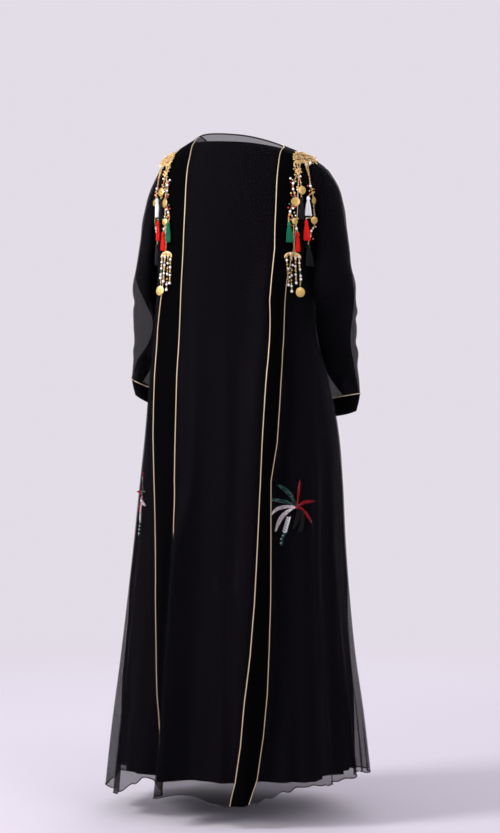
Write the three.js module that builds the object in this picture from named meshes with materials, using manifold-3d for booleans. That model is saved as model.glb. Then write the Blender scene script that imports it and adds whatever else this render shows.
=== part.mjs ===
import * as THREE from 'three';
import Module from 'manifold-3d';

// Abaya in millimetres, +Z up, the front of the garment faces -Y, the wearer's left is +X.
// The origin lies between the two ends of the neckline, where the shoulders carry the garment.

const wasm = await Module();
wasm.setup();

const CHIFFON = 1.2;        // wall of chiffon and of lining
const VELVET = 1.6;         // wall of the bands and cuffs
const SEAM = 0.4;           // space between two pieces at a seam
const PIPING = 1.6;         // radius of the gold piping
const LINING_TOP = 2;       // lining's distance under the chiffon at the neck
const LINING_WAIST = 19;    // the same at the waist
const LINING_HEM = 31;      // the same at the hem
const LINING_LEVEL = -1361; // height of the lining's hem, above the chiffon's
const COIN = 10.5;          // radius of the hanging coins
const ARMHOLE = { y: 0, halfDepth: 62, halfHeight: 94, top: { 1: -56, '-1': -67 } };
const DEG = Math.PI / 180;

const COLOURS = {
  chiffon: [0x17151c, 0.85, 0], lining: [0x0d0c11, 0.7, 0], velvet: [0x060608, 0.95, 0],
  gold: [0xc9a55a, 0.35, 1], piping: [0xc8b08a, 0.45, 0.6], white: [0xe6e3df, 0.7, 0],
  red: [0xc02a26, 0.7, 0], green: [0x176448, 0.7, 0], black: [0x101014, 0.7, 0],
  beads: [0xb9b8bd, 0.4, 0.2],
};

// One row of the body per line: heights of its side, back and front, then half width,
// depth behind and in front of the middle, the middle's y and x and the outline's squareness.
const ROW = ['side', 'back', 'front', 'half', 'behind', 'ahead', 'middle', 'shift', 'square'];
const BODY = [
  [0, 9, -80, 97, 60, 78, 0, 0, 2.2],
  [-17, -9, -92, 130, 82, 90, 0, 0, 2.3],
  [-38, -32, -104, 164, 98, 101, 0, 0, 2.5],
  [-62, -62, -120, 187, 110, 110, 0, 0, 2.6],
  [-100, -100, -142, 193, 119, 117, 2, 0, 2.6],
  [-150, -150, -175, 190, 124, 120, 4, 1, 2.6],
  [-200, -200, -215, 184, 127, 122, 7, 3, 2.6],
  [-260, -260, -266, 178, 128, 122, 10, 7, 2.6],
  [-340, -340, -342, 176, 128, 122, 14, 12, 2.6],
  [-430, -430, -430, 178, 131, 124, 18, 12, 2.5],
  [-515, -515, -515, 196, 142, 130, 22, 5, 2.4],
  [-612, -612, -612, 210, 150, 138, 26, 0, 2.3],
  [-744, -744, -744, 220, 160, 150, 30, 0, 2.3],
  [-876, -876, -876, 228, 172, 163, 30, 4, 2.3],
  [-1008, -1008, -1008, 238, 187, 178, 30, 7, 2.3],
  [-1140, -1140, -1140, 251, 203, 194, 30, 9, 2.2],
  [-1272, -1272, -1272, 266, 218, 209, 30, 9, 2.2],
  [-1404, -1404, -1404, 278, 234, 225, 30, 9, 2.2],
];
const LAST = BODY.length - 1;

// Long soft folds: angle at the top and at the hem, half width (degrees), heights where the
// fold starts and is half grown, and how far it stands out there and at the hem (minus in).
const FOLDS = [
  [66, 64, 9, -500, -700, -6, -14], [82, 80, 8, -600, -800, 3, 8], [2, 3, 9, -600, -800, -4, -9],
  [-57, -48, 9, -420, -700, 8, 15], [-76, -70, 9, -560, -800, -6, -13],
  [108, 106, 10, -500, -700, 6, 14], [128, 126, 9, -420, -700, -7, -14],
  [150, 148, 10, -380, -700, 7, 13], [168, 168, 7, -600, -800, -4, -9],
  [-106, -104, 10, -520, -700, 6, 14], [-127, -126, 9, -400, -700, -8, -15],
  [-149, -148, 10, -360, -700, 7, 13], [-169, -168, 7, -620, -800, -4, -8],
];
// Folds that run along a band: its side, which edge (0 inner), degrees outwards from it,
// half width, start, half grown, depth there and at the hem, and how far the crest leans out.
const BAND_FOLDS = [
  [1, 0, -3, 6, -640, -900, 9, 34, 12], [1, 1, 2.5, 7, -560, -900, -10, -27, 0],
  [1, 1, 5, 10, -180, -420, 12, 0, 0],
  [-1, 0, -4, 7, -160, -380, 17, 13, 0], [-1, 1, 4, 7, -160, -380, -19, -17, 0],
];

// Height of the hem by angle around the body, from centre front round the back.
const HEM = [
  [-180, -1398], [-130, -1380], [-105, -1374], [-91, -1364], [-78, -1369], [-58, -1371],
  [-45, -1366], [-34, -1375], [-27, -1394], [-21, -1406], [-12, -1407], [-4, -1401],
  [6, -1393], [18, -1395], [23, -1390], [27, -1366], [31, -1366], [36, -1384], [44, -1400],
  [56, -1411], [68, -1413], [76, -1405], [90, -1402], [130, -1402], [180, -1398],
];

// Distance of the velvet bands' edges from the centre, by height.
const BANDS = {
  1: [[0, 93, 96.5], [-17, 95, 124], [-38, 94, 140], [-62, 96, 145], [-150, 96.5, 146],
    [-245, 98, 142], [-320, 101, 141], [-414, 103, 149], [-515, 104, 152], [-644, 103, 153],
    [-739, 99, 150], [-850, 96, 146], [-905, 95, 143], [-994, 96, 141], [-1130, 98, 134],
    [-1195, 98, 129], [-1250, 99, 119], [-1404, 100, 116]],
  '-1': [[0, 93, 96.5], [-17, 108, 127], [-38, 108, 141], [-62, 109, 148], [-165, 108, 147],
    [-245, 105, 141], [-310, 97, 131], [-357, 93, 129], [-400, 94, 128], [-485, 95, 128],
    [-580, 93, 126], [-660, 91, 123], [-739, 90, 112], [-831, 88, 114], [-986, 85, 118],
    [-1090, 80, 118], [-1180, 73, 117], [-1262, 69, 112], [-1340, 61, 101], [-1404, 46, 80]],
};

const smooth = (t) => t * t * (3 - 2 * t);
const clamp = (t) => Math.min(1, Math.max(0, t));
const point = (x, y, z) => new THREE.Vector3(x, y, z);
const along = (p, d, k) => p.clone().addScaledVector(d, k);

function lookUp(table, at, column = 1) {
  const down = table[0][0] > table[table.length - 1][0];
  const i = table.findIndex(([k], n) => n > 0 && (down ? at >= k : at <= k));
  const [a, b] = i < 0 ? table.slice(-2) : [table[i - 1], table[i]];
  const t = clamp((at - a[0]) / (b[0] - a[0]));
  return a[column] + (b[column] - a[column]) * t;
}

function rowAt(t) {
  const i = Math.min(LAST - 1, Math.floor(t));
  const u = t - i;
  const [a, b, c, d] = [i - 1, i, i + 1, i + 2].map((k) => BODY[Math.min(LAST, Math.max(0, k))]);
  const mix = (k) => b[k] + 0.5 * u * (c[k] - a[k]
    + u * (2 * a[k] - 5 * b[k] + 4 * c[k] - d[k] + u * (3 * (b[k] - c[k]) + d[k] - a[k])));
  return Object.fromEntries(ROW.map((name, k) => [name, mix(k)]));
}

const grown = (z, start, half, middle, hem) => middle * smooth(clamp((start - z) / (start - half)))
  + (hem - middle) * clamp((half - z) / (half + 1404));

// How far the folds move the surface out, and how far they lean along it.
function foldAt(angle, z, t) {
  const near = (centre, width) => {
    const away = (((angle - centre + 540) % 360) - 180) / width;
    return Math.exp(-away * away);
  };
  const sum = { out: 0, lean: 0 };
  for (const [top, end, width, start, half, middle, hem] of FOLDS) {
    const centre = top + (end - top) * clamp(-z / 1404);
    sum.out += grown(z, start, half, middle, hem) * near(centre, width);
  }
  for (const [side, edge, offset, width, start, half, middle, hem, lean] of BAND_FOLDS) {
    const centre = angleOf(side * lookUp(BANDS[side], z, edge + 1), t) + side * offset;
    const share = near(centre, width);
    sum.out += grown(z, start, half, middle, hem) * share;
    sum.lean += side * lean * clamp((start - z) / (start + 1404)) * share;
  }
  return sum;
}

// Surface of the body at an angle (0 = centre back, 90 = wearer's left) and a row number. The
// hem follows its line, or stays level where a height is given.
function bodyPoint(angle, t, foldShare = 1, level = null) {
  const row = rowAt(t);
  const s = Math.sin(angle * DEG);
  const c = Math.cos(angle * DEG);
  const bend = (v) => Math.sign(v) * Math.abs(v) ** (2 / row.square);
  const end = c >= 0 ? row.back : row.front;
  let z = row.side * s * s + end * c * c;
  z += s * (15 - 10 * clamp(-row.side / 62)) * (1 - clamp((-row.side - 62) / 240));
  const hem = level ?? lookUp(HEM, angle) + 2.5 * Math.sin(angle * 0.21);
  z += (hem + 1404) * smooth(clamp((-row.side - 700) / 704));
  const fold = foldAt(angle, z, t);
  const [out, lean] = [fold.out * foldShare, fold.lean * foldShare];
  const x = row.shift + row.half * bend(s) + out * s + lean * c;
  const y = row.middle + (c >= 0 ? row.behind : row.ahead) * bend(c) + out * c - lean * s;
  return point(x, y, z);
}

function angleOf(x, t) {
  const row = rowAt(t);
  const share = Math.min(0.996, Math.abs(x - row.shift) / row.half);
  return Math.asin(share ** (row.square / 2)) / DEG * Math.sign(x);
}

// Normals of a grid of points, facing away from the grid's inside.
function normalsOf(grid, wrap) {
  const rows = grid.length;
  const cols = grid[0].length;
  return grid.map((line, r) => line.map((_, c) => {
    const left = wrap ? (c + cols - 1) % cols : Math.max(0, c - 1);
    const right = wrap ? (c + 1) % cols : Math.min(cols - 1, c + 1);
    const across = grid[r][right].clone().sub(grid[r][left]);
    const down = grid[Math.min(rows - 1, r + 1)][c].clone().sub(grid[Math.max(0, r - 1)][c]);
    return down.cross(across).normalize();
  }));
}

function closedGeometry(points, faces) {
  const geometry = new THREE.BufferGeometry();
  geometry.setAttribute('position',
    new THREE.Float32BufferAttribute(points.flatMap((p) => [p.x, p.y, p.z]), 3));
  const volume = faces.reduce((sum, [a, b, c]) => sum
    + points[a].dot(points[b].clone().cross(points[c])), 0);
  geometry.setIndex(faces.flatMap(([a, b, c]) => (volume > 0 ? [a, b, c] : [a, c, b])));
  return geometry;
}

// A wall of even thickness: the grid moved out by `lift`, and its wall inwards from there.
function sheet(grid, normals, wall, lift = 0, wrap = false) {
  const rows = grid.length;
  const cols = grid[0].length;
  const count = rows * cols;
  const layer = (h) => grid.flatMap((line, r) => line.map((p, c) => along(p, normals[r][c], h)));
  const points = [...layer(lift), ...layer(lift - wall)];
  const at = (r, c, side) => side * count + r * cols + (c % cols);
  const faces = [];
  const quad = (a, b, c, d) => faces.push([a, b, c], [a, c, d]);
  const lastCol = wrap ? cols : cols - 1;
  for (let r = 0; r < rows - 1; r += 1) {
    for (let c = 0; c < lastCol; c += 1) {
      quad(at(r, c, 0), at(r + 1, c, 0), at(r + 1, c + 1, 0), at(r, c + 1, 0));
      quad(at(r, c, 1), at(r, c + 1, 1), at(r + 1, c + 1, 1), at(r + 1, c, 1));
    }
  }
  for (let c = 0; c < lastCol; c += 1) {
    quad(at(0, c, 0), at(0, c + 1, 0), at(0, c + 1, 1), at(0, c, 1));
    quad(at(rows - 1, c, 0), at(rows - 1, c, 1), at(rows - 1, c + 1, 1), at(rows - 1, c + 1, 0));
  }
  for (let r = 0; r < rows - 1 && !wrap; r += 1) {
    quad(at(r, 0, 0), at(r, 0, 1), at(r + 1, 0, 1), at(r + 1, 0, 0));
    const e = cols - 1;
    quad(at(r, e, 0), at(r + 1, e, 0), at(r + 1, e, 1), at(r, e, 1));
  }
  return closedGeometry(points, faces);
}

// A round cord through a list of points, open with flat ends or joined into a ring.
function cord(path, radius, sides, ring = false) {
  const n = path.length;
  const points = [];
  const faces = [];
  let side = point(0.3, 0.1, 1);
  path.forEach((p, i) => {
    const next = path[ring ? (i + 1) % n : Math.min(n - 1, i + 1)];
    const before = path[ring ? (i + n - 1) % n : Math.max(0, i - 1)];
    const way = next.clone().sub(before).normalize();
    side = side.clone().addScaledVector(way, -side.dot(way)).normalize();
    const up = way.clone().cross(side);
    const r = Array.isArray(radius) ? radius[i] : radius;
    for (let k = 0; k < sides; k += 1) {
      const a = (k / sides) * 2 * Math.PI;
      points.push(along(along(p, side, r * Math.cos(a)), up, r * Math.sin(a)));
    }
  });
  for (let i = 0; i < (ring ? n : n - 1); i += 1) {
    for (let k = 0; k < sides; k += 1) {
      const j = (i + 1) % n;
      const [a, b] = [i * sides + k, i * sides + (k + 1) % sides];
      const [c, d] = [j * sides + (k + 1) % sides, j * sides + k];
      faces.push([a, b, c], [a, c, d]);
    }
  }
  for (let k = 1; k < sides - 1 && !ring; k += 1) {
    faces.push([0, k + 1, k]);
    faces.push([(n - 1) * sides, (n - 1) * sides + k, (n - 1) * sides + k + 1]);
  }
  return closedGeometry(points, faces);
}

function solid(geometry) {
  const bare = geometry.clone();
  bare.deleteAttribute('normal');
  bare.deleteAttribute('uv');
  const { position } = bare.attributes;
  const keys = new Map();
  const points = [];
  const remap = [];
  for (let i = 0; i < position.count; i += 1) {
    const xyz = [position.getX(i), position.getY(i), position.getZ(i)];
    const key = xyz.map((v) => Math.round(v * 1e4)).join();
    if (!keys.has(key)) {
      keys.set(key, points.length / 3);
      points.push(...xyz);
    }
    remap.push(keys.get(key));
  }
  const index = bare.index ? [...bare.index.array] : remap.map((_, i) => i);
  const faces = [];
  for (let i = 0; i < index.length; i += 3) {
    const [a, b, c] = [0, 1, 2].map((k) => remap[index[i + k]]);
    if (a !== b && b !== c && a !== c) faces.push(a, b, c);
  }
  return new wasm.Manifold(new wasm.Mesh({
    numProp: 3, vertProperties: new Float32Array(points), triVerts: new Uint32Array(faces),
  }));
}

function geometryOf(body) {
  const mesh = body.getMesh();
  const geometry = new THREE.BufferGeometry();
  geometry.setAttribute('position', new THREE.BufferAttribute(mesh.vertProperties, 3));
  geometry.setIndex(new THREE.BufferAttribute(mesh.triVerts, 1));
  return geometry;
}

// The parts joined, with the hair-thin gaps enclosed between crossing strands filled.
const union = (parts) => geometryOf(parts.map(solid).reduce((a, b) => a.add(b)).decompose()
  .reduce((a, b) => (a.volume() > b.volume() ? a : b)));
const cut = (geometry, tools) => geometryOf(tools.map(solid)
  .reduce((body, tool) => body.subtract(tool), solid(geometry)));

const abaya = new THREE.Group();
abaya.name = 'abaya';

function add(name, geometry, colour) {
  const [color, roughness, metalness] = COLOURS[colour];
  geometry.computeVertexNormals();
  const mesh = new THREE.Mesh(geometry,
    new THREE.MeshStandardMaterial({ color, roughness, metalness }));
  mesh.name = name;
  abaya.add(mesh);
  return mesh;
}

// ---- back and fronts: rows shared by every piece that lies on them
const ROWS = [0, 0.5, 1, 1.6, 2.2, 3, 3.7, 4.5, 5.4, 6.3, 7.2, 8, 9, 9.8, 10.6, 11.5, 12.5,
  13.5, 14.5, 15.4, 16.2, LAST];

function bandEdge(side, t, edge) {
  const z = bodyPoint(side * 30, t).z;
  return angleOf(side * lookUp(BANDS[side], z, edge + 1), t);
}

function spread(from, to, count) {
  return Array.from({ length: count }, (_, i) => from + (to - from) * (i + 1) / count);
}
const shares = (from, to, list) => list.map((share) => from + (to - from) * share);

function backAngles(t) {
  const seam = 90 - SEAM / 4;
  const [lo, li, ri, ro] = [[1, 1], [1, 0], [-1, 0], [-1, 1]].map(([s, e]) => bandEdge(s, t, e));
  return [seam, ...shares(seam, lo, [0.24, 0.46, 0.65, 0.8, 0.92, 1]), ...spread(lo, li, 2),
    ...shares(li, ri, [0.08, 0.17, 0.32, 0.5, 0.68, 0.83, 0.92, 1]), ...spread(ri, ro, 2),
    ...shares(ro, -seam, [0.08, 0.2, 0.35, 0.54, 0.76, 1])];
}
const COLUMN = { leftOuter: 6, leftInner: 8, rightInner: 16, rightOuter: 18 };

const backGrid = ROWS.map((t) => backAngles(t).map((angle) => bodyPoint(angle, t)));
const backNormals = normalsOf(backGrid, false);

function armholeTool(side, share = 1) {
  const tool = new THREE.CylinderGeometry(1, 1, 160, 28);
  tool.rotateZ(Math.PI / 2);
  tool.scale(1, ARMHOLE.halfDepth * share, ARMHOLE.halfHeight * share);
  tool.translate(side * 190, ARMHOLE.y, ARMHOLE.top[side] - ARMHOLE.halfHeight);
  return tool;
}
const backPanel = add('back_panel',
  cut(sheet(backGrid, backNormals, CHIFFON), [armholeTool(1), armholeTool(-1)]), 'chiffon');

for (const [side, name] of [[1, 'left'], [-1, 'right']]) {
  const angles = [90 + SEAM / 4, ...spread(90 + SEAM / 4, 179.7, 8)];
  const ordered = side > 0 ? angles.reverse() : angles;
  const grid = ROWS.map((t) => ordered.map((angle) => bodyPoint(side * angle, t)));
  add(`front_${name}`, cut(sheet(grid, normalsOf(grid, false), CHIFFON), [armholeTool(side)]),
    'chiffon');
}

// ---- lining: the same body without its full folds, moved in along the plain normals
function plainNormal(angle, t) {
  const across = bodyPoint(angle - 1, t, 0).sub(bodyPoint(angle + 1, t, 0));
  const down = bodyPoint(angle, Math.min(LAST, t + 0.1), 0).sub(bodyPoint(angle, t - 0.1, 0));
  return down.cross(across).normalize();
}

function liningGrid(angles, rows) {
  return rows.map((t) => angles.map((a) => {
    const depth = -rowAt(t).side;
    const inset = LINING_TOP + (LINING_WAIST - LINING_TOP) * smooth(clamp(depth / 350))
      + (LINING_HEM - LINING_WAIST) * clamp(depth / 1404);
    return along(bodyPoint(a, t, 0.75, LINING_LEVEL), plainNormal(a, t), -inset);
  }));
}
const LINING_ROWS = [0.9, 1.5, 2.2, 3, 4, 5.5, 7, 8.6, 10.4, 13, LAST];
const liningBack = liningGrid([89.9, ...spread(89.9, -89.9, 16)], LINING_ROWS);
add('lining_back', cut(sheet(liningBack, normalsOf(liningBack, false), CHIFFON),
  [armholeTool(1, 0.86), armholeTool(-1, 0.86)]), 'lining');
for (const [side, name] of [[1, 'left'], [-1, 'right']]) {
  const angles = [90.15, ...spread(90.15, 179.5, 6)].map((a) => a * side);
  const grid = liningGrid(side > 0 ? angles.reverse() : angles, LINING_ROWS);
  add(`lining_front_${name}`, cut(sheet(grid, normalsOf(grid, false), CHIFFON),
    [armholeTool(side, 0.86)]), 'lining');
}

// ---- sleeves: rings between an outer and an inner line down the arm, then the velvet cuffs
const RING = ['outX', 'outZ', 'inX', 'inZ', 'y', 'deep'];
const SLEEVE = {
  1: [[213, -92, 191, -256, 0, 63], [225, -128, 192, -270, 0, 61], [236, -180, 193, -288, -2, 58],
    [246, -235, 193, -310, -6, 56], [257, -290, 193, -336, -10, 52], [264, -340, 195, -364, -16, 48],
    [268, -385, 201, -402, -28, 44], [274, -430, 215, -444, -50, 39],
    [289, -473, 241, -488, -84, 33], [306, -512, 265, -533, -118, 27]],
  '-1': [[209, -100, 180, -266, 2, 64], [218, -137, 179, -281, 5, 63],
    [228, -186, 176, -298, 10, 61], [238, -238, 171, -316, 16, 58], [248, -295, 169, -338, 20, 55],
    [252, -340, 169, -364, 14, 50], [251, -385, 168, -402, -6, 45],
    [244, -430, 167, -445, -38, 40], [238, -485, 167, -498, -76, 34],
    [232, -550, 170, -562, -120, 28]],
};
const CUFF = {
  1: [[308, -552, 271, -573, -148, 23]],
  '-1': [[217, -590, 170, -602, -146, 24]],
};
const AROUND = 16;

function ringPoints(side, row, around = AROUND) {
  const ring = Object.fromEntries(RING.map((name, k) => [name, row[k]]));
  const out = point(side * ring.outX, ring.y, ring.outZ);
  const inner = point(side * ring.inX, ring.y, ring.inZ);
  const centre = out.clone().lerp(inner, 0.5);
  const up = out.clone().sub(centre);
  const lean = point(-side * 0.12, 1, 0).normalize();
  return Array.from({ length: around }, (_, k) => {
    const a = -side * (k / around) * 2 * Math.PI;
    return along(along(centre, up, Math.sin(a)), lean, ring.deep * Math.cos(a));
  });
}

// The sleeve's first rings follow the armhole on the body, just inside its cut edge.
function armholeRing(side, share, outwards, around = AROUND) {
  return Array.from({ length: around }, (_, k) => {
    const a = -side * (k / around) * 2 * Math.PI;
    const y = ARMHOLE.y + (ARMHOLE.halfDepth * share - SEAM - 0.4) * Math.cos(a);
    const z = ARMHOLE.top[side] - ARMHOLE.halfHeight
      + (ARMHOLE.halfHeight * share - SEAM - 0.4) * Math.sin(a);
    const x = sideX(side, y, z);
    return point(side * (x + outwards), y, z);
  });
}

function sideX(side, y, z) {
  let [low, high] = [0, LAST];
  for (let i = 0; i < 30; i += 1) {
    const t = (low + high) / 2;
    if (bodyPoint(side * 90, t).z > z) low = t;
    else high = t;
  }
  const row = rowAt(low);
  const deep = y > row.middle ? row.behind : row.ahead;
  return side * row.shift + row.half
    * (1 - Math.min(1, Math.abs((y - row.middle) / deep)) ** row.square) ** (1 / row.square);
}

for (const [side, name] of [[1, 'left'], [-1, 'right']]) {
  const arm = SLEEVE[side];
  const grid = [armholeRing(side, 1, -0.5), armholeRing(side, 1, 3),
    ...arm.map((row) => ringPoints(side, row))];
  add(`sleeve_${name}`, sheet(grid, normalsOf(grid, true), CHIFFON, 0, true), 'chiffon');

  const inside = ([outX, outZ, inX, inZ, y, deep]) => [outX - 7, outZ - 5, inX + 9, inZ + 8, y,
    deep * 0.85];
  const core = [armholeRing(side, 0.86, -13, 10),
    ...arm.slice(0, -1).filter((_, i) => i !== 3).map((row) => ringPoints(side, inside(row), 10))];
  add(`sleeve_lining_${name}`, sheet(core, normalsOf(core, true), CHIFFON, 0, true), 'lining');

  const wrist = ringPoints(side, arm[arm.length - 1]);
  const end = ringPoints(side, CUFF[side][0]);
  const down = end.map((p, k) => p.clone().sub(wrist[k]).normalize());
  const top = wrist.map((p, k) => along(p, down[k], 2 * SEAM));
  const middle = top.map((p, k) => p.clone().lerp(end[k], 0.5));
  const cuff = [top, middle, end];
  const cuffNormals = normalsOf(cuff, true);
  add(`cuff_${name}`, sheet(cuff, cuffNormals, VELVET, 0.4, true), 'velvet');
  const seam = top.map((p, k) => along(along(p, cuffNormals[0][k], PIPING + 0.9), down[k], 1));
  add(`cuff_piping_${name}`, cord(seam, PIPING, 5, true), 'piping');
}

// ---- velvet bands on the back, each between two gold pipings
for (const [side, name] of [[1, 'left'], [-1, 'right']]) {
  const first = side > 0 ? COLUMN.leftOuter : COLUMN.rightInner;
  const pick = (table) => table.map((line) => line.slice(first, first + 3));
  const [grid, normals] = [pick(backGrid), pick(backNormals)];
  add(`band_${name}`, sheet(grid, normals, VELVET, VELVET + 0.3), 'velvet');
  for (const edge of ['inner', 'outer']) {
    const before = (side > 0) === (edge === 'outer');
    const column = before ? first : first + 2;
    const path = backGrid.map((line, r) => {
      const away = line[before ? column - 1 : column + 1].clone().sub(line[column]).normalize();
      const foot = along(line[column], away, PIPING + 0.6);
      return along(foot, backNormals[r][column], PIPING + 0.9);
    });
    add(`piping_${name}_${edge}`, cord(path.slice(edge === 'outer' ? 3 : 0), PIPING, 5), 'piping');
  }
}

// ---- places on the back panel: the point and normal seen at (s, z) from a direction
function onBack(s, z, direction = 0) {
  const flat = (p) => p.x * Math.cos(direction * DEG) - p.y * Math.sin(direction * DEG);
  let found = null;
  for (let r = 0; r < backGrid.length - 1; r += 1) {
    for (let c = 0; c < backGrid[0].length - 1; c += 1) {
      for (const [i, j] of [[[1, 0], [1, 1]], [[1, 1], [0, 1]]]) {
        const at = [[r, c], [r + i[0], c + i[1]], [r + j[0], c + j[1]]];
        const [a, b, d] = at.map(([m, n]) => backGrid[m][n]);
        const [bs, bz, ds, dz] = [flat(b) - flat(a), b.z - a.z, flat(d) - flat(a), d.z - a.z];
        const area = bs * dz - ds * bz;
        const u = ((s - flat(a)) * dz - ds * (z - a.z)) / area;
        const v = (bs * (z - a.z) - (s - flat(a)) * bz) / area;
        if (area < 0 && u > -1e-6 && v > -1e-6 && u + v < 1 + 1e-6) {
          const mix = (p, q, w) => p.clone().multiplyScalar(1 - u - v).addScaledVector(q, u)
            .addScaledVector(w, v);
          const place = mix(a, b, d);
          const normal = mix(...at.map(([m, n]) => backNormals[m][n])).normalize();
          const depth = place.x * Math.sin(direction * DEG) + place.y * Math.cos(direction * DEG);
          if (!found || depth > found.depth) found = { place, normal, depth };
        }
      }
    }
  }
  return found;
}

const LIFT = 5.9;           // ornaments hang this far off the back, clear of the pipings
const lifted = (x, z, height) => {
  const { place, normal } = onBack(x, z);
  return along(place, normal, height);
};

function ball(centre, radius, detail = 0) {
  return new THREE.IcosahedronGeometry(radius, detail).translate(centre.x, centre.y, centre.z);
}

// A coin lies flat over the back.
function coin(x, z, radius) {
  const { place, normal } = onBack(x, z);
  const spot = along(place, normal, LIFT + 2.2);
  const turn = new THREE.Quaternion().setFromUnitVectors(point(0, 1, 0), normal);
  return new THREE.CylinderGeometry(radius, radius, 1.4, 12).applyQuaternion(turn)
    .translate(spot.x, spot.y, spot.z);
}

// A tassel: a short round head and strands that fan out down the back.
const STRANDS = 7;
function tassel(x, z, length, spreadWide) {
  const head = lifted(x, z, LIFT + 2.8);
  const parts = [new THREE.CylinderGeometry(2.7, 3.4, 7, 6).translate(head.x, head.y, head.z)];
  for (let i = 0; i < STRANDS; i += 1) {
    const across = (i - 3) / 3;
    const depth = i % 2 ? 1 : -0.6;
    const start = along(head, point(across * 1.9, depth * 0.8, -2), 1);
    const end = lifted(x + across * spreadWide, z - length + 2 * ((i * 5) % 3),
      LIFT + 2.4 + depth);
    parts.push(cord([start, end], [0.55, 1], 3));
  }
  return union(parts);
}

// A strand: a cord through its pearls; each stop is [x, z, pearl radius, extra lift].
function strand(stops) {
  const path = stops.map(([x, z, , extra = 0]) => lifted(x, z, LIFT + extra));
  const pearls = stops.filter(([, , radius]) => radius)
    .map(([x, z, radius]) => ball(lifted(x, z, LIFT + Math.max(0, radius - 1.2)), radius));
  return union([cord(path, 1, 3), ...pearls]);
}

// A leaf: a tapering strip raised on the back. It sets out from the spray's heart at an angle
// and bends away from that line by `droop` at its tip.
function leaf(side, heart, angle, length, width, droop) {
  const [cs, sn] = [Math.cos(angle * DEG), Math.sin(angle * DEG)];
  const rings = LEAF_SHAPE.map(([f, share]) => {
    const bow = droop * f * f;
    const turn = Math.atan2(2 * droop * f, length) + angle * DEG;
    const half = width * share;
    const spot = (k) => {
      const h = length * f * cs - bow * sn - k * half * Math.sin(turn);
      const v = length * f * sn + bow * cs + k * half * Math.cos(turn);
      return onBack(side * (heart.s + h), heart.z + v, side * heart.direction);
    };
    const [left, middle, right] = [1, 0, -1].map(spot);
    return [along(left.place, left.normal, 2.6), along(middle.place, middle.normal, 4),
      along(right.place, right.normal, 2.6), along(middle.place, middle.normal, 2.2)];
  });
  const faces = [];
  for (let i = 0; i < rings.length - 1; i += 1) {
    for (let k = 0; k < 4; k += 1) {
      const [a, b] = [i * 4 + k, i * 4 + (k + 1) % 4];
      faces.push([a, b, b + 4], [a, b + 4, a + 4]);
    }
  }
  const e = (rings.length - 1) * 4;
  faces.push([0, 2, 1], [0, 3, 2], [e, e + 1, e + 2], [e, e + 2, e + 3]);
  return closedGeometry(rings.flat(), faces);
}

// Place along a leaf and its share of the width there.
const LEAF_SHAPE = [[0, 0.4], [0.22, 0.75], [0.48, 1], [0.76, 0.8], [1, 0.2]];
// Angle at which each frond sets out, its length, half width and droop.
const FRONDS = [
  [110, 57, 6, 19], [145, 43, 5, 12], [85, 54, 3, -2], [61, 36, 4.4, -30], [18, 24, 4, -42],
  [162, 37, 4.6, 29], [180, 36, 5, 55], [-60, 45, 4, -25],
];
const STEM = [[-9, -23], [-14, -33], [-19, -44], [-24, -55], [-28, -66], [-29, -79]];
const STEM_RADII = [3.2, 3.4, 3.4, 3.2, 1.8, 1];
const HEART = { 1: { s: 26, z: -781, direction: 54 }, '-1': { s: -1, z: -794, direction: 48 } };

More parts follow.
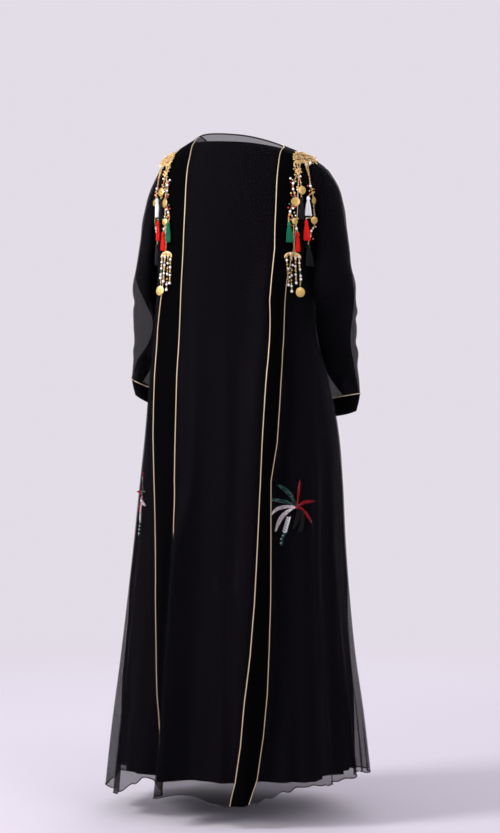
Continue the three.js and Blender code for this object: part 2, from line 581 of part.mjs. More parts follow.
for (const [side, name] of [[1, 'left'], [-1, 'right']]) {
  const down = side > 0 ? 6 : 0;
  const link = side > 0 ? -65.2 : -64.6;
  const at = (x, z) => [side * x, z + down];
  add(`epaulette_${name}`, strand([[...at(136, -40), 4], [...at(148, -42), 4.5],
    [...at(161, -46), 4.5], [...at(170, -55), 4], [...at(156, -61), 5],
    [...at(142, -62), 5]]), 'gold');
  add(`strand_inner_${name}`, union([
    strand([[...at(142.3, -66.4), 0, 3.8], [...at(146, -83), 5], [...at(139, -108), 3],
      [...at(139, -120), 2.6], [...at(143, -145), 0], [...at(134, -168), 2.8],
      [...at(141, -188), 0], [...at(144, -203), 3], [...at(144, -210.1), 0, 2.8]]),
    strand([[...at(147, -84), 0], [...at(154, -120), 0], [...at(153.5, -132), 0],
      [...at(153, -136.1), 0, 2.8]]),
    strand([[...at(134, -168), 0], [...at(131, -178), 0], [...at(131, -190.1), 0, 2.8]]),
  ]), 'gold');
  add(`strand_outer_${name}`, union([
    strand([[...at(156.3, link), 0, 3.8], [...at(161, -76), 2.6], [...at(166, -92), 0],
      [...at(169, -112), 3], [...at(172, -126), 2.8], [...at(173, -142), 0],
      [...at(173, -190), 0], [...at(168, -206), 2.8], [...at(166, -217), 2.8],
      [...at(161, -234.1), 0, 2.8]]),
    strand([[...at(171, -126), 0], [...at(164, -134.1), 0, 2.8]]),
    strand([[...at(173, -178), 0], [...at(162, -180), 0], [...at(160, -184.1), 0, 2.8]]),
  ]), 'gold');
  const drops = [[125, -262, 126, -322], [131, -256, 134, -336], [139, -256, 142, -318],
    [147, -262, 149, -310]];
  add(`crescent_${name}`, union([
    strand([[...at(125, -262), 3.2], [...at(131, -256), 3.6], [...at(139, -256), 3.6],
      [...at(147, -262), 3.2]]),
    strand([[...at(139, -256), 0], [...at(137.5, -230), 0], [...at(139.6, -194), 0]]),
    strand([[...at(149, -310), 0], [...at(148, -338), 0]]),
    ...drops.map(([x, z, end, low]) => strand([[...at(x, z), 0], [...at(end, low), 3.4]])),
  ]), 'gold');
  const coins = [[154, -122, 9], [143, -147, 9.5], [141, -188, 7], [173, -142, 7.5],
    [172, -183, 8], [148, -338, COIN]];
  coins.forEach(([x, z, r], i) => add(`coin_${name}_${i + 1}`, coin(...at(x, z), r), 'gold'));
  const tassels = [['white', 164, -138, 36, 4], ['black', 153, -140, 42, 4],
    ['green', 131, -194, 38, 4], ['red', 144, -214, 36, 4], ['red', 160, -188, 38, 2],
    ['black', 161, -238, 42, 3]];
  tassels.forEach(([tint, x, z, length, wide], i) => add(`tassel_${name}_${i + 1}`,
    tassel(...at(x, z), length, wide), tint));

  const heart = HEART[side];
  const spot = (h, v, height) => {
    const { place, normal } = onBack(side * (heart.s + h), heart.z + v, side * heart.direction);
    return along(place, normal, height);
  };
  const leaves = FRONDS.map((frond) => leaf(side, heart, ...frond));
  add(`palm_leaves_${name}`, union([ball(spot(0, 0, 4.5), 4), ...leaves]), 'beads');
  add(`palm_stem_${name}`, cord(STEM.map(([h, v]) => spot(h, v, 4)),
    STEM_RADII, 6), 'beads');
}

export default abaya;
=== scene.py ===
import math
import random

import bmesh
import bpy
from mathutils import Matrix, Vector
from mathutils.bvhtree import BVHTree


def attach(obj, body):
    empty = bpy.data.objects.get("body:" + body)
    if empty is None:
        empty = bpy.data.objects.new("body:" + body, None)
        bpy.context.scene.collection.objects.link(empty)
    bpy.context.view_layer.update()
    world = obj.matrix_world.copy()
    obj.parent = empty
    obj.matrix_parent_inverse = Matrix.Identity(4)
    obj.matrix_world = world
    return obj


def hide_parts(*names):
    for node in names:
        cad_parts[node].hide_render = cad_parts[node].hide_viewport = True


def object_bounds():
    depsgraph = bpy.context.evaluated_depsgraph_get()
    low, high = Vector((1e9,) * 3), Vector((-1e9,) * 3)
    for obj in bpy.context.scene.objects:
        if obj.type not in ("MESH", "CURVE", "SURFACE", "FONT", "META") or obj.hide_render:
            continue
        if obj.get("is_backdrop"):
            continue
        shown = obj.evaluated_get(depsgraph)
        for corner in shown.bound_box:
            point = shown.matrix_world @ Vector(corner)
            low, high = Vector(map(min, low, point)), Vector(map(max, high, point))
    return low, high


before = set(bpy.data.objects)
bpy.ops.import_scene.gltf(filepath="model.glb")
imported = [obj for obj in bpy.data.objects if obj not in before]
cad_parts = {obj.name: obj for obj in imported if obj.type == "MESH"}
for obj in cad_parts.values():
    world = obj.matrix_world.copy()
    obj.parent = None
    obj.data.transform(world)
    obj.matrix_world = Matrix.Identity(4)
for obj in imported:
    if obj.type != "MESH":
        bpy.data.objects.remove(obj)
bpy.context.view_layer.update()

# ---- Chiffon body -----------------------------------------------------------------------
# Black crinkled chiffon, cut as one back panel and two fronts that meet at the side seams.
# It hangs from the shoulders and widens in long soft folds down to a narrow rolled hem.

MM = 0.001
SIDES = ((1, "left"), (-1, "right"))
CHIFFON_WALL = 1.2
HEM_HEIGHT = 1404
# Heights of side, back and front, half width, depth behind and ahead of the middle, the
# middle's y and x, and how square the outline is, one row of the body per line.
BODY = (
    (0, 9, -80, 97, 60, 78, 0, 0, 2.2), (-17, -9, -92, 130, 82, 90, 0, 0, 2.3),
    (-38, -32, -104, 164, 98, 101, 0, 0, 2.5), (-62, -62, -120, 187, 110, 110, 0, 0, 2.6),
    (-100, -100, -142, 193, 119, 117, 2, 0, 2.6), (-150, -150, -175, 190, 124, 120, 4, 1, 2.6),
    (-200, -200, -215, 184, 127, 122, 7, 3, 2.6), (-260, -260, -266, 178, 128, 122, 10, 7, 2.6),
    (-340, -340, -342, 176, 128, 122, 14, 12, 2.6), (-430, -430, -430, 178, 131, 124, 18, 12, 2.5),
    (-515, -515, -515, 196, 142, 130, 22, 5, 2.4), (-612, -612, -612, 210, 150, 138, 26, 0, 2.3),
    (-744, -744, -744, 220, 160, 150, 30, 0, 2.3), (-876, -876, -876, 228, 172, 163, 30, 4, 2.3),
    (-1008, -1008, -1008, 238, 187, 178, 30, 7, 2.3),
    (-1140, -1140, -1140, 251, 203, 194, 30, 9, 2.2),
    (-1272, -1272, -1272, 266, 218, 209, 30, 9, 2.2),
    (-1404, -1404, -1404, 278, 234, 225, 30, 9, 2.2),
)
LAST = len(BODY) - 1
# Long folds: angle at the top and hem, half width in degrees, heights where the fold starts
# and is half grown, and how far it stands out there and at the hem.
FOLDS = (
    (66, 64, 9, -500, -700, -6, -14), (82, 80, 8, -600, -800, 3, 8), (2, 3, 9, -600, -800, -4, -9),
    (-57, -48, 9, -420, -700, 8, 15), (-76, -70, 9, -560, -800, -6, -13),
    (108, 106, 10, -500, -700, 6, 14), (128, 126, 9, -420, -700, -7, -14),
    (150, 148, 10, -380, -700, 7, 13), (168, 168, 7, -600, -800, -4, -9),
    (-106, -104, 10, -520, -700, 6, 14), (-127, -126, 9, -400, -700, -8, -15),
    (-149, -148, 10, -360, -700, 7, 13), (-169, -168, 7, -620, -800, -4, -8),
)
# Narrow creases laid between them, in the same columns.
CREASES = (
    (11, 14, 3, -300, -620, 4.2, 7), (4, 6, 2.4, -380, -760, -3, -5.5),
    (17, 19, 2, -280, -560, -2.6, -4), (-3, -3, 2, -240, -540, 2.8, 4.4),
    (-14, -13, 2, -300, -600, 2.8, 4.4), (8, 10, 2, -440, -740, -2.6, -4.2),
    (-9, -10, 2.6, -420, -800, -4, -7), (-20, -17, 2.8, -260, -520, 3.6, 7),
    (22, 24, 3, -520, -900, -2.4, -5.4), (52, 50, 3, -300, -600, 3.4, 7.2),
    (60, 59, 2.6, -640, -900, -3, -8), (74, 72, 3, -560, -860, 3.4, 9.6),
    (86, 87, 2.8, -700, -1000, -2.6, -8), (-46, -41, 2.8, -330, -640, -4, -8),
    (-54, -52, 2.6, -420, -760, 3.4, 6), (-64, -59, 3, -480, -820, 3.4, 8),
    (-70, -66, 2.6, -700, -1000, -2.8, -8), (-82, -80, 3, -600, -900, 3.4, 9.6),
    (-88, -87, 2.4, -800, -1100, -1.7, -6.4), (96, 97, 3, -560, -900, 3.4, 8),
    (117, 115, 3, -420, -800, -3, -8), (138, 136, 3, -360, -700, 3.4, 7.2),
    (158, 157, 3, -320, -640, -2.8, -6.4), (174, 174, 2.4, -500, -900, 2, 4.8),
    (-97, -96, 3, -560, -900, -3, -8), (-116, -114, 3, -460, -800, 3.4, 8),
    (-137, -136, 3, -340, -680, -3, -7.2), (-159, -157, 3, -360, -700, 2.8, 6.4),
)
# Folds that run along a velvet band: its side, which edge (0 inner), degrees outwards from
# it, half width, start, half grown, depth there and at the hem, and the crest's lean.
BAND_FOLDS = (
    (1, 0, -6.3, 4.5, -740, -900, 23, 33, 18), (1, 1, 2.5, 7, -560, -900, -10, -27, 0),
    (1, 1, 5, 10, -180, -420, 12, 0, 0),
    (-1, 0, -4, 7, -160, -380, 17, 13, 0), (-1, 1, 4, 7, -160, -380, -19, -17, 0),
)
HEM_LINE = (
    (-180, -1398), (-130, -1380), (-105, -1374), (-91, -1364), (-78, -1369), (-58, -1371),
    (-45, -1366), (-34, -1375), (-27, -1394), (-21, -1406), (-12, -1407), (-4, -1401),
    (6, -1393), (18, -1395), (23, -1390), (27, -1366), (31, -1366), (36, -1384), (44, -1400),
    (56, -1411), (68, -1413), (76, -1405), (90, -1402), (130, -1402), (180, -1398),
)
# The bands' edges: distance from the centre of the inner and the outer one, by height.
BANDS = {
    1: ((0, 93, 96.5), (-17, 95, 124), (-38, 94, 140), (-62, 96, 145), (-150, 96.5, 146),
        (-245, 98, 142), (-320, 101, 141), (-414, 103, 149), (-515, 104, 152), (-644, 103, 153),
        (-739, 102, 150), (-850, 95, 146), (-905, 91, 143), (-994, 93, 141), (-1130, 97, 136),
        (-1195, 98, 133), (-1250, 101, 128), (-1404, 110, 126)),
    -1: ((0, 93, 96.5), (-17, 108, 127), (-38, 108, 141), (-62, 109, 148), (-165, 108, 147),
         (-245, 105, 141), (-310, 97, 131), (-357, 93, 129), (-400, 94, 128), (-485, 95, 128),
         (-580, 93, 126), (-660, 91, 123), (-739, 90, 112), (-831, 88, 114), (-986, 85, 118),
         (-1090, 80, 118), (-1180, 73, 117), (-1262, 69, 112), (-1340, 61, 101), (-1404, 46, 80)),
}
# The left shoulder stands higher than the right one: by how much from the middle at the neck,
# how much less of it is left at the shoulder, that height, and how far down it fades out.
TILT, TILT_EASE, TILT_LEVEL, TILT_FADE = 15, 10, 62, 240
# The hem's own line is taken up from this far down, and it ripples: how high and how fast.
HEM_FROM = 700
RIPPLES = ((2.5, 0.21), (1.2, 0.9))
# A fine flutter near the hem: where it starts, what it grows over, its depth and its waves.
FLUTTER_FROM, FLUTTER_OVER, FLUTTER = 1000, 400, 3.2
FLUTTER_WAVES, FLUTTER_SWAY, SWAY_WAVES = 31, 1.7, 7
# How far apart, in degrees and in rows, the cloth is felt for the way out of it.
ANGLE_STEP, ROW_STEP = 0.6, 0.06


def clamp(t):
    return min(1.0, max(0.0, t))


def smooth(t):
    return t * t * (3 - 2 * t)


def look_up(table, at, column=1, eased=False):
    down = table[0][0] > table[-1][0]
    for above, below in zip(table, table[1:]):
        if (at >= below[0]) if down else (at <= below[0]):
            break
    t = clamp((at - above[0]) / (below[0] - above[0]))
    t = smooth(t) if eased else t
    return above[column] + (below[column] - above[column]) * t


def between(a, b, c, d, u):
    """The smooth curve through b and c, with a and d on either side of them."""
    return b + (c - a + (a * 2 - b * 5 + c * 4 - d + ((b - c) * 3 + d - a) * u) * u) * (0.5 * u)


def four_around(items, i):
    """The item before place i, the one at it and the two after it, inside the list."""
    return [items[min(len(items) - 1, max(0, n))] for n in (i - 1, i, i + 1, i + 2)]


def smoothed(points, parts):
    """The smooth line through a few points, in so many steps from each to the next."""
    fine = [between(*four_around(points, i), k / parts)
            for i in range(len(points) - 1) for k in range(parts)]
    return fine + [points[-1]]


def row_at(t):
    i = min(LAST - 1, int(t))
    return [between(*column, t - i) for column in zip(*four_around(BODY, i))]


def angle_of(x, t):
    row = row_at(t)
    half, shift, square = row[3], row[7], row[8]
    share = min(0.996, abs(x - shift) / half)
    return math.copysign(math.degrees(math.asin(share ** (square / 2))), x)


def fold_at(angle, z, t):
    """How far the folds move the cloth out, and how far they lean along it."""
    def near(centre, width):
        away = ((angle - centre + 540) % 360 - 180) / width
        return math.exp(-away * away) if abs(away) < 3 else 0.0

    def grown(start, half, middle, hem):
        return middle * smooth(clamp((start - z) / (start - half))) \
            + (hem - middle) * clamp((half - z) / (half + HEM_HEIGHT))

    out = lean = 0.0
    for top, end, width, *depths in FOLDS + CREASES:
        share = near(top + (end - top) * clamp(-z / HEM_HEIGHT), width)
        if share:
            out += grown(*depths) * share
    for side, edge, offset, width, *depths, tilt in BAND_FOLDS:
        if angle * side < -20:
            continue
        share = near(angle_of(side * look_up(BANDS[side], z, edge + 1), t) + side * offset, width)
        out += grown(*depths) * share
        lean += side * tilt * smooth(clamp((depths[0] - z) / (depths[0] - depths[1]))) * share
    turn = math.radians(angle)
    out += smooth(clamp((-z - FLUTTER_FROM) / FLUTTER_OVER)) * FLUTTER \
        * math.sin(turn * FLUTTER_WAVES + FLUTTER_SWAY * math.sin(turn * SWAY_WAVES))
    return out, lean


def body_height(angle, row, level=None):
    """The height of a row of the body: the hem follows its line, or is level for a lining."""
    side, back, front = row[:3]
    s, c = math.sin(math.radians(angle)), math.cos(math.radians(angle))
    z = side * s * s + (back if c >= 0 else front) * c * c
    z += s * (TILT - TILT_EASE * clamp(-side / TILT_LEVEL)) \
        * (1 - clamp((-side - TILT_LEVEL) / TILT_FADE))
    hem = level or look_up(HEM_LINE, angle, eased=True) \
        + sum(high * math.sin(angle * pace) for high, pace in RIPPLES)
    return z + (hem + HEM_HEIGHT) * smooth(clamp((-side - HEM_FROM) / (HEM_HEIGHT - HEM_FROM)))


def body_point(angle, t, share=1.0, level=None):
    """A place on the body in millimetres: angle 0 is centre back, 90 the wearer's left."""
    row = row_at(t)
    half, behind, ahead, middle, shift, square = row[3:]
    s, c = math.sin(math.radians(angle)), math.cos(math.radians(angle))
    z = body_height(angle, row, level)
    out, lean = (share * part for part in fold_at(angle, z, t))
    across, deep = (math.copysign(abs(v) ** (2 / square), v) for v in (s, c))
    return Vector((shift + half * across + out * s + lean * c,
                   middle + (behind if c >= 0 else ahead) * deep + out * c - lean * s, z))


def outwards(angle, t, share=1.0):
    """The way out of the cloth at a place on the body."""
    across = body_point(angle - ANGLE_STEP, t, share) - body_point(angle + ANGLE_STEP, t, share)
    down = body_point(angle, min(LAST, t + ROW_STEP), share) \
        - body_point(angle, max(0, t - ROW_STEP), share)
    return down.cross(across).normalized()


def fresh():
    """An empty mesh that has the map every piece needs."""
    bm = bmesh.new()
    bm.loops.layers.uv.new("UVMap")
    return bm


def surface(columns, rows, place, middle=None):
    """A grid of cloth: place(across, down) gives each point in millimetres, and the faces
    look away from middle, or as they come where there is none."""
    bm = fresh()
    bmesh.ops.create_grid(bm, x_segments=columns, y_segments=rows, size=0.5, calc_uvs=True)
    for v in bm.verts:
        v.co = place(v.co.x + 0.5, 0.5 - v.co.y) * MM
    bm.normal_update()
    if middle:
        facing = sum(f.normal.dot(f.calc_center_median() - middle(f.calc_center_median()))
                     for f in bm.faces)
        if facing < 0:
            bmesh.ops.reverse_faces(bm, faces=bm.faces)
    return bm


def look_out(bm, heart, faces):
    """Turns all faces over where these ones look towards the heart."""
    if sum(f.normal.dot(f.calc_center_median() - heart) for f in faces) < 0:
        bmesh.ops.reverse_faces(bm, faces=bm.faces)


def piece(bm, name, materials, nodes=(), wall=0.0):
    """The finished piece: it rides on the garment and stands for the named solids."""
    mesh = bpy.data.meshes.new(name)
    for face in bm.faces:
        face.smooth = True
    bm.to_mesh(mesh)
    bm.free()
    made = bpy.data.objects.new(name, mesh)
    bpy.context.scene.collection.objects.link(made)
    for material in materials:
        mesh.materials.append(material)
    if wall:
        shell = made.modifiers.new("wall", "SOLIDIFY")
        shell.thickness = wall * MM
        shell.offset = -1
        shell.use_even_offset = False
    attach(made, "root")
    if nodes:
        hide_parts(*nodes)
    return made


class Dye:
    """A socket of a material; sums and products of it become its Math nodes."""

    def __init__(self, tree, socket=None):
        self.tree, self.socket = tree, socket

    def node(self, kind, settings=(), out=0, **sockets):
        made = self.tree.nodes.new("ShaderNode" + kind)
        for name, value in dict(settings).items():
            if name == "stops":
                ramp = made.color_ramp.elements
                while len(ramp) < len(value):
                    ramp.new(1)
                for stop, (place, colour) in zip(ramp, value):
                    stop.position, stop.color = place, (*colour, 1)
            else:
                setattr(made, name, value)
        for name, value in sockets.items():
            socket = made.inputs[int(name[1:]) if name[1:].isdigit() else name.replace("_", " ")]
            if isinstance(value, Dye):
                self.tree.links.new(value.socket, socket)
            else:
                socket.default_value = value
        return Dye(self.tree, made.outputs[out])

    def maths(self, operation, first, second=0.0):
        return self.node("Math", {"operation": operation}, i0=first, i1=second)

    def __add__(self, other):
        return self.maths("ADD", self, other)

    def __mul__(self, other):
        return self.maths("MULTIPLY", self, other)

    def __pow__(self, other):
        return self.maths("POWER", self, other)

    __radd__, __rmul__ = __add__, __mul__

    def sine(self):
        return self.maths("SINE", self)

    def noise(self, scale, detail=2.0, roughness=0.5, stretch=(1, 1, 1)):
        place = self.node("TexCoord", out=3)
        spread = self.node("Mapping", Vector=place, Scale=stretch)
        return self.node("TexNoise", Vector=spread, Scale=scale, Detail=detail,
                         Roughness=roughness)

    def colours(self, mask, first, second):
        return self.node("MixRGB", {"blend_type": "MIX"}, i0=mask, i1=(*first, 1), i2=(*second, 1))


def finish(name, settings, dress):
    """A material: constants go straight on the shader, and dress links what varies."""
    material = bpy.data.materials.new(name)
    material.use_nodes = True
    shader = material.node_tree.nodes["Principled BSDF"]
    for socket, value in settings.items():
        shader.inputs[socket].default_value = value
    for socket, dye in dress(Dye(material.node_tree)).items():
        material.node_tree.links.new(dye.socket, shader.inputs[socket])
    return material


def bumped(dye, height, distance, strength=1.0):
    return dye.node("Bump", Height=height, Distance=distance, Strength=strength)


def yarns(dye, across, down):
    """The two ways of a weave, from 0 to 1, by the cloth's own map."""
    place = dye.node("TexCoord", out=2)
    parts = [dye.node("SeparateXYZ", out=k, Vector=place) for k in (0, 1)]
    return (parts[0] * across).sine() * (parts[1] * down).sine() * 0.5 + 0.5


def chiffon_dress(dye, dense=0.35):
    crinkle = dye.noise(420, 3, 0.6, (1, 1, 0.35))
    cloud = dye.noise(9, 2)
    weave = yarns(dye, 2600, 4800)
    return {
        "Base Color": dye.colours(crinkle * 0.6 + cloud * 0.4, (0.0009, 0.0007, 0.0014),
                                  (0.0036, 0.0027, 0.0049)),
        "Roughness": cloud * 0.15 + 0.68,
        "Alpha": weave * 0.06 + crinkle * 0.08 + dense,
        "Normal": bumped(dye, dye.noise(220, 3, 0.6, (1, 1, 0.35)), 0.0004, 0.4),
    }


CHIFFON_GLOSS = {"Sheen Weight": 0.02, "Sheen Roughness": 0.4, "Sheen Tint": (0.75, 0.7, 0.85, 1),
                 "Specular IOR Level": 0.05}
chiffon = finish("black_chiffon", CHIFFON_GLOSS, chiffon_dress)

# The seams' places round the body, in degrees: the back's edge, and a front's two edges.
SIDE_SEAM, FRONT_SEAM, FRONT_EDGE = 89.9, 90.1, 179.7
BACK_COLUMNS, FRONT_COLUMNS, BODY_ROWS = 150, 80, 200
BODY_MIDDLE = (0.008, 0.015)
# Each armhole: half its depth and height, where it starts from the middle, and its top's height.
ARMHOLE = {"half_depth": 62, "half_height": 94, "reach": 110, 1: -56, -1: -67}
# Which cut edges are moved onto the armhole's curve, in shares of its size, and a place well
# outside the sleeve, in metres, to look for the cloth from.
NEAR_CURVE, OUTSIDE = (0.6, 1.35), 0.4
# Rows of the body lie closer at the shoulders: the share of them that is spread evenly.
EVEN_ROWS = 0.55


def cut_armhole(bm, side, share=1.0):
    """Opens the cloth on an upright ellipse, with its edge moved onto the curve."""
    deep, tall = ARMHOLE["half_depth"] * share * MM, ARMHOLE["half_height"] * share * MM
    heart = (ARMHOLE[side] - ARMHOLE["half_height"]) * MM
    whole = BVHTree.FromBMesh(bm)

    def from_heart(co):
        beyond = co.x * side < ARMHOLE["reach"] * MM
        return 9 if beyond else math.hypot(co.y / deep, (co.z - heart) / tall)

    gone = [f for f in bm.faces if from_heart(f.calc_center_median()) < 1]
    bmesh.ops.delete(bm, geom=gone, context="FACES")
    for v in bm.verts:
        apart = from_heart(v.co)
        if v.is_boundary and NEAR_CURVE[0] < apart < NEAR_CURVE[1]:
            y, z = v.co.y / apart, heart + (v.co.z - heart) / apart
            found = whole.ray_cast(Vector((side * OUTSIDE, y, z)), Vector((-side, 0, 0)))[0]
            v.co = found or Vector((v.co.x, y, z))


def of_body(co):
    return Vector((*BODY_MIDDLE, co.z))


def row_share(v):
    """The row of the body at a share of the way down the cloth."""
    return LAST * (EVEN_ROWS * v + (1 - EVEN_ROWS) * v * v)


back = surface(BACK_COLUMNS, BODY_ROWS, lambda u, v: body_point(
    SIDE_SEAM - 2 * SIDE_SEAM * u, row_share(v)), of_body)
back_tree = BVHTree.FromBMesh(back)
for hand in (1, -1):
    cut_armhole(back, hand)
chiffon_back = piece(back, "chiffon_back", [chiffon], ["back_panel"], CHIFFON_WALL)
for hand, name in SIDES:
    front = surface(FRONT_COLUMNS, BODY_ROWS, lambda u, v: body_point(
        hand * (FRONT_EDGE + (FRONT_SEAM - FRONT_EDGE) * u), row_share(v)), of_body)
    cut_armhole(front, hand)
    piece(front, "chiffon_front_" + name, [chiffon],
                                 ["front_" + name], CHIFFON_WALL)
    "lining_front_" + name

# ---- Rolled hems and edges ---------------------------------------------------------------
# The chiffon's raw edges are rolled and stitched into a thin dark rim: round the hem, down
# the two front edges and round the neckline, which carries a narrow self binding.


def tube(points, radius, sides, lobes=0, pitch=1.0, depth=0.0, ring=False):
    """A cord's surface through a list of points in millimetres; lobes twist round it."""
    count = len(points)
    frames, side, run = [], Vector((0.3, 0.1, 1)), 0.0
    for i, spot in enumerate(points):
        ahead = points[(i + 1) % count if ring else min(count - 1, i + 1)]
        behind = points[i - 1 if ring or i else 0]
        way = (ahead - behind).normalized()
        side = (side - way * side.dot(way)).normalized()
        frames.append((spot, side, way.cross(side), run))
        run += (ahead - spot).length
    if ring:
        frames.append((points[0], frames[0][1], frames[0][2], round(run / pitch) * pitch))
    steps = len(frames) - 1
    reach = radius if callable(radius) else lambda share: radius

    def place(u, v):
        spot, first, second, length = frames[min(steps, round(v * steps))]
        turn = 2 * math.pi * u
        wave = 1 + depth * math.cos(lobes * (turn - 2 * math.pi * length / pitch / lobes)) \
            if lobes else 1
        return spot + (first * math.cos(turn) + second * math.sin(turn)) * reach(v) * wave

    bm = surface(sides, steps, place)
    bmesh.ops.remove_doubles(bm, verts=bm.verts, dist=1e-6)
    if not ring:
        bmesh.ops.holes_fill(bm, edges=[e for e in bm.edges if e.is_boundary], sides=0)
    bmesh.ops.recalc_face_normals(bm, faces=bm.faces)
    return bm


def join(bm, part, index=0):
    """Takes a finished part into a piece and gives its faces a finish."""
    mesh = bpy.data.meshes.new("joined")
    part.to_mesh(mesh)
    part.free()
    mesh.polygons.foreach_set("material_index", [index] * len(mesh.polygons))
    bm.from_mesh(mesh)
    bpy.data.meshes.remove(mesh)


# The rim's radius, how much thicker it is at the neck, and the rim's places in degrees.
ROLL, NECK_EXTRA = 1.3, 0.4
BACK_RIM, SIDE_RIM, FRONT_RIM, FRONT_EDGE_RIM = 89.6, 90.3, 178.6, 178.9
edging = finish("black_rolled_edge", {"Sheen Weight": 0.05, "Roughness": 0.6}, lambda dye: {
    "Base Color": dye.colours(dye.noise(300), (0.006, 0.005, 0.008), (0.016, 0.014, 0.02)),
    "Normal": bumped(dye, dye.noise(900, 3), 0.0004)})


def edge_path(angles, rows):
    return [body_point(a, t) + outwards(a, t) * -0.5 * CHIFFON_WALL for a, t in zip(angles, rows)]


def steps(first, last, count):
    return [first + (last - first) * i / (count - 1) for i in range(count)]


def hem_and_neck(first, last, at_hem, at_neck):
    """The rims along the hem and along the neck, between two places round the body."""
    return [tube(edge_path(steps(first, last, count), [row] * count), radius, 6)
            for row, count, radius in ((LAST, at_hem, ROLL), (0, at_neck, ROLL + NECK_EXTRA))]


rims = {"chiffon_back": hem_and_neck(BACK_RIM, -BACK_RIM, 260, 90)}
for hand, name in SIDES:
    rims["chiffon_front_" + name] = [
        *hem_and_neck(hand * SIDE_RIM, hand * FRONT_RIM, 130, 50),
        tube(edge_path([hand * FRONT_EDGE_RIM] * 160, steps(0, LAST, 160)), ROLL, 6)]
for name, parts in rims.items():
    whole = fresh()
    for part in parts:
        join(whole, part)
    piece(whole, name + "_rolled_edge", [edging])

# ---- Lining --------------------------------------------------------------------------------
# Opaque black crepe under the chiffon follows its folds closely down to the knee and hangs
# freer below. It ends above the chiffon's hem and sits lower at the neck, as a sheer margin.

# How far it lies inside the chiffon, by height, and less than that in the tallest fold: the
# fold's place and half width in degrees, the least inset and the share that is taken off.
LINING_INSETS = ((0, 2.2), (-300, 2.6), (-980, 3), (-1061, 9), (-1206, 14), (-1371, 30))
TALL_FOLD, FOLD_WIDTH, LEAST_INSET, TAKEN_OFF = 16, 9, 3, 0.8
LINING_HEM = -1361
# Its seams round the body in degrees, its top row, and its armholes' size beside the chiffon's.
LINING_SIDE, LINING_FRONT_SIDE, LINING_FRONT = 91.2, 91.4, 179.9
LINING_TOP, LINING_ARMHOLE = 0.9, 0.86
LINING_COLUMNS, LINING_FRONT_COLUMNS, LINING_ROWS = 80, 44, 110
lining = finish("black_crepe_lining", {"Sheen Weight": 0.02, "Specular IOR Level": 0.03},
                lambda dye: {
    "Base Color": dye.colours(dye.noise(60, 3), (0.0014, 0.0012, 0.002), (0.004, 0.0033, 0.0055)),
    "Roughness": dye.noise(300) * 0.2 + 0.6,
    "Normal": bumped(dye, yarns(dye, 2200, 4200), 0.0002, 0.5)})


def lining_point(angle, t):
    inset = look_up(LINING_INSETS, row_at(t)[0])
    inset -= max(0, inset - LEAST_INSET) * TAKEN_OFF \
        * math.exp(-((angle - TALL_FOLD) / FOLD_WIDTH) ** 2)
    return body_point(angle, t, level=LINING_HEM) - outwards(angle, t, 0) * inset


def lining_cloth(columns, first, last):
    """The lining between two places round the body."""
    return surface(columns, LINING_ROWS, lambda u, v: lining_point(
        first + (last - first) * u, LINING_TOP + (LAST - LINING_TOP) * v), of_body)


lining_back_cloth = lining_cloth(LINING_COLUMNS, LINING_SIDE, -LINING_SIDE)
for hand in (1, -1):
    cut_armhole(lining_back_cloth, hand, LINING_ARMHOLE)
lining_pieces = {"back": piece(lining_back_cloth, "lining_back_cloth", [lining],
                               ["lining_back"], CHIFFON_WALL)}
for hand, name in SIDES:
    cloth = lining_cloth(LINING_FRONT_COLUMNS, hand * LINING_FRONT, hand * LINING_FRONT_SIDE)
    cut_armhole(cloth, hand, LINING_ARMHOLE)
    lining_pieces[name] = piece(cloth, "lining_front_cloth_" + name, [lining],
                                ["lining_front_" + name], CHIFFON_WALL)

# ---- Sleeves -------------------------------------------------------------------------------
# Full sheer chiffon sleeves set into oval armholes, with a narrower opaque lining inside that
# ends at the cuff. They crease at the bend of the arm and above the cuff.

# Each ring of a sleeve: x and z of its outer edge, x and z of its inner edge, y and half depth.
SLEEVE = {
    1: ((213, -92, 191, -256, 0, 63), (225, -128, 192, -270, 0, 61), (236, -180, 193, -288, -2, 58),
        (246, -235, 193, -310, -6, 56), (257, -290, 193, -336, -10, 52),
        (264, -340, 195, -364, -16, 48), (268, -385, 201, -402, -28, 44),
        (274, -430, 215, -444, -50, 39), (289, -473, 241, -488, -84, 33),
        (306, -512, 265, -533, -118, 27)),
    -1: ((209, -100, 180, -266, 2, 64), (218, -137, 179, -281, 5, 63),
         (228, -186, 176, -298, 10, 61), (238, -238, 169, -316, 16, 58),
         (248, -295, 167, -338, 20, 55), (252, -340, 167, -364, 14, 50),
         (251, -385, 163, -402, -6, 45), (244, -430, 160, -445, -38, 40),
         (238, -485, 161, -498, -76, 34), (232, -550, 170, -562, -120, 28)),
}
# The space at a seam, how much smaller the sleeve's head is than its armhole, how the arm's
# rings lean, and how often the search for the body's side halves its range.
SEAM, SLEEVE_EASE, LEAN, HALVINGS = 0.4, 0.4, 0.12, 30
# The sleeve's lining leaves the outer side sheer at the left elbow, by ring and its outer x.
# At both wrists it keeps clear of the inner side.
CORE_OUTER = {1: {5: 236, 6: 219, 7: 236, 8: 280}, -1: {6: 241, 7: 229, 8: 228}}
CORE_INNER = {1: {9: 286}, -1: {9: 198}}
# Creases: which ring they cross, how far they slant, their half width in rings and depth.
SLEEVE_CREASES = ((1.6, 0.8, 0.5, 2.4), (2.9, -0.7, 0.4, -2.2), (4.4, 0.9, 0.4, 2.6),
                  (5.6, 0.5, 0.28, -3.2), (6.2, -0.4, 0.25, 3.2), (6.9, 0.5, 0.26, -3),
                  (7.6, -0.4, 0.25, 2.4), (8.5, 0.5, 0.3, -2))
# Creases push out less upwards, and fade within so many rings of the armhole and the wrist.
FLATTENED, HEAD_FLAT, WRIST_FLAT = 0.3, 1.5, 0.8
WRIST_REACH = 0.05
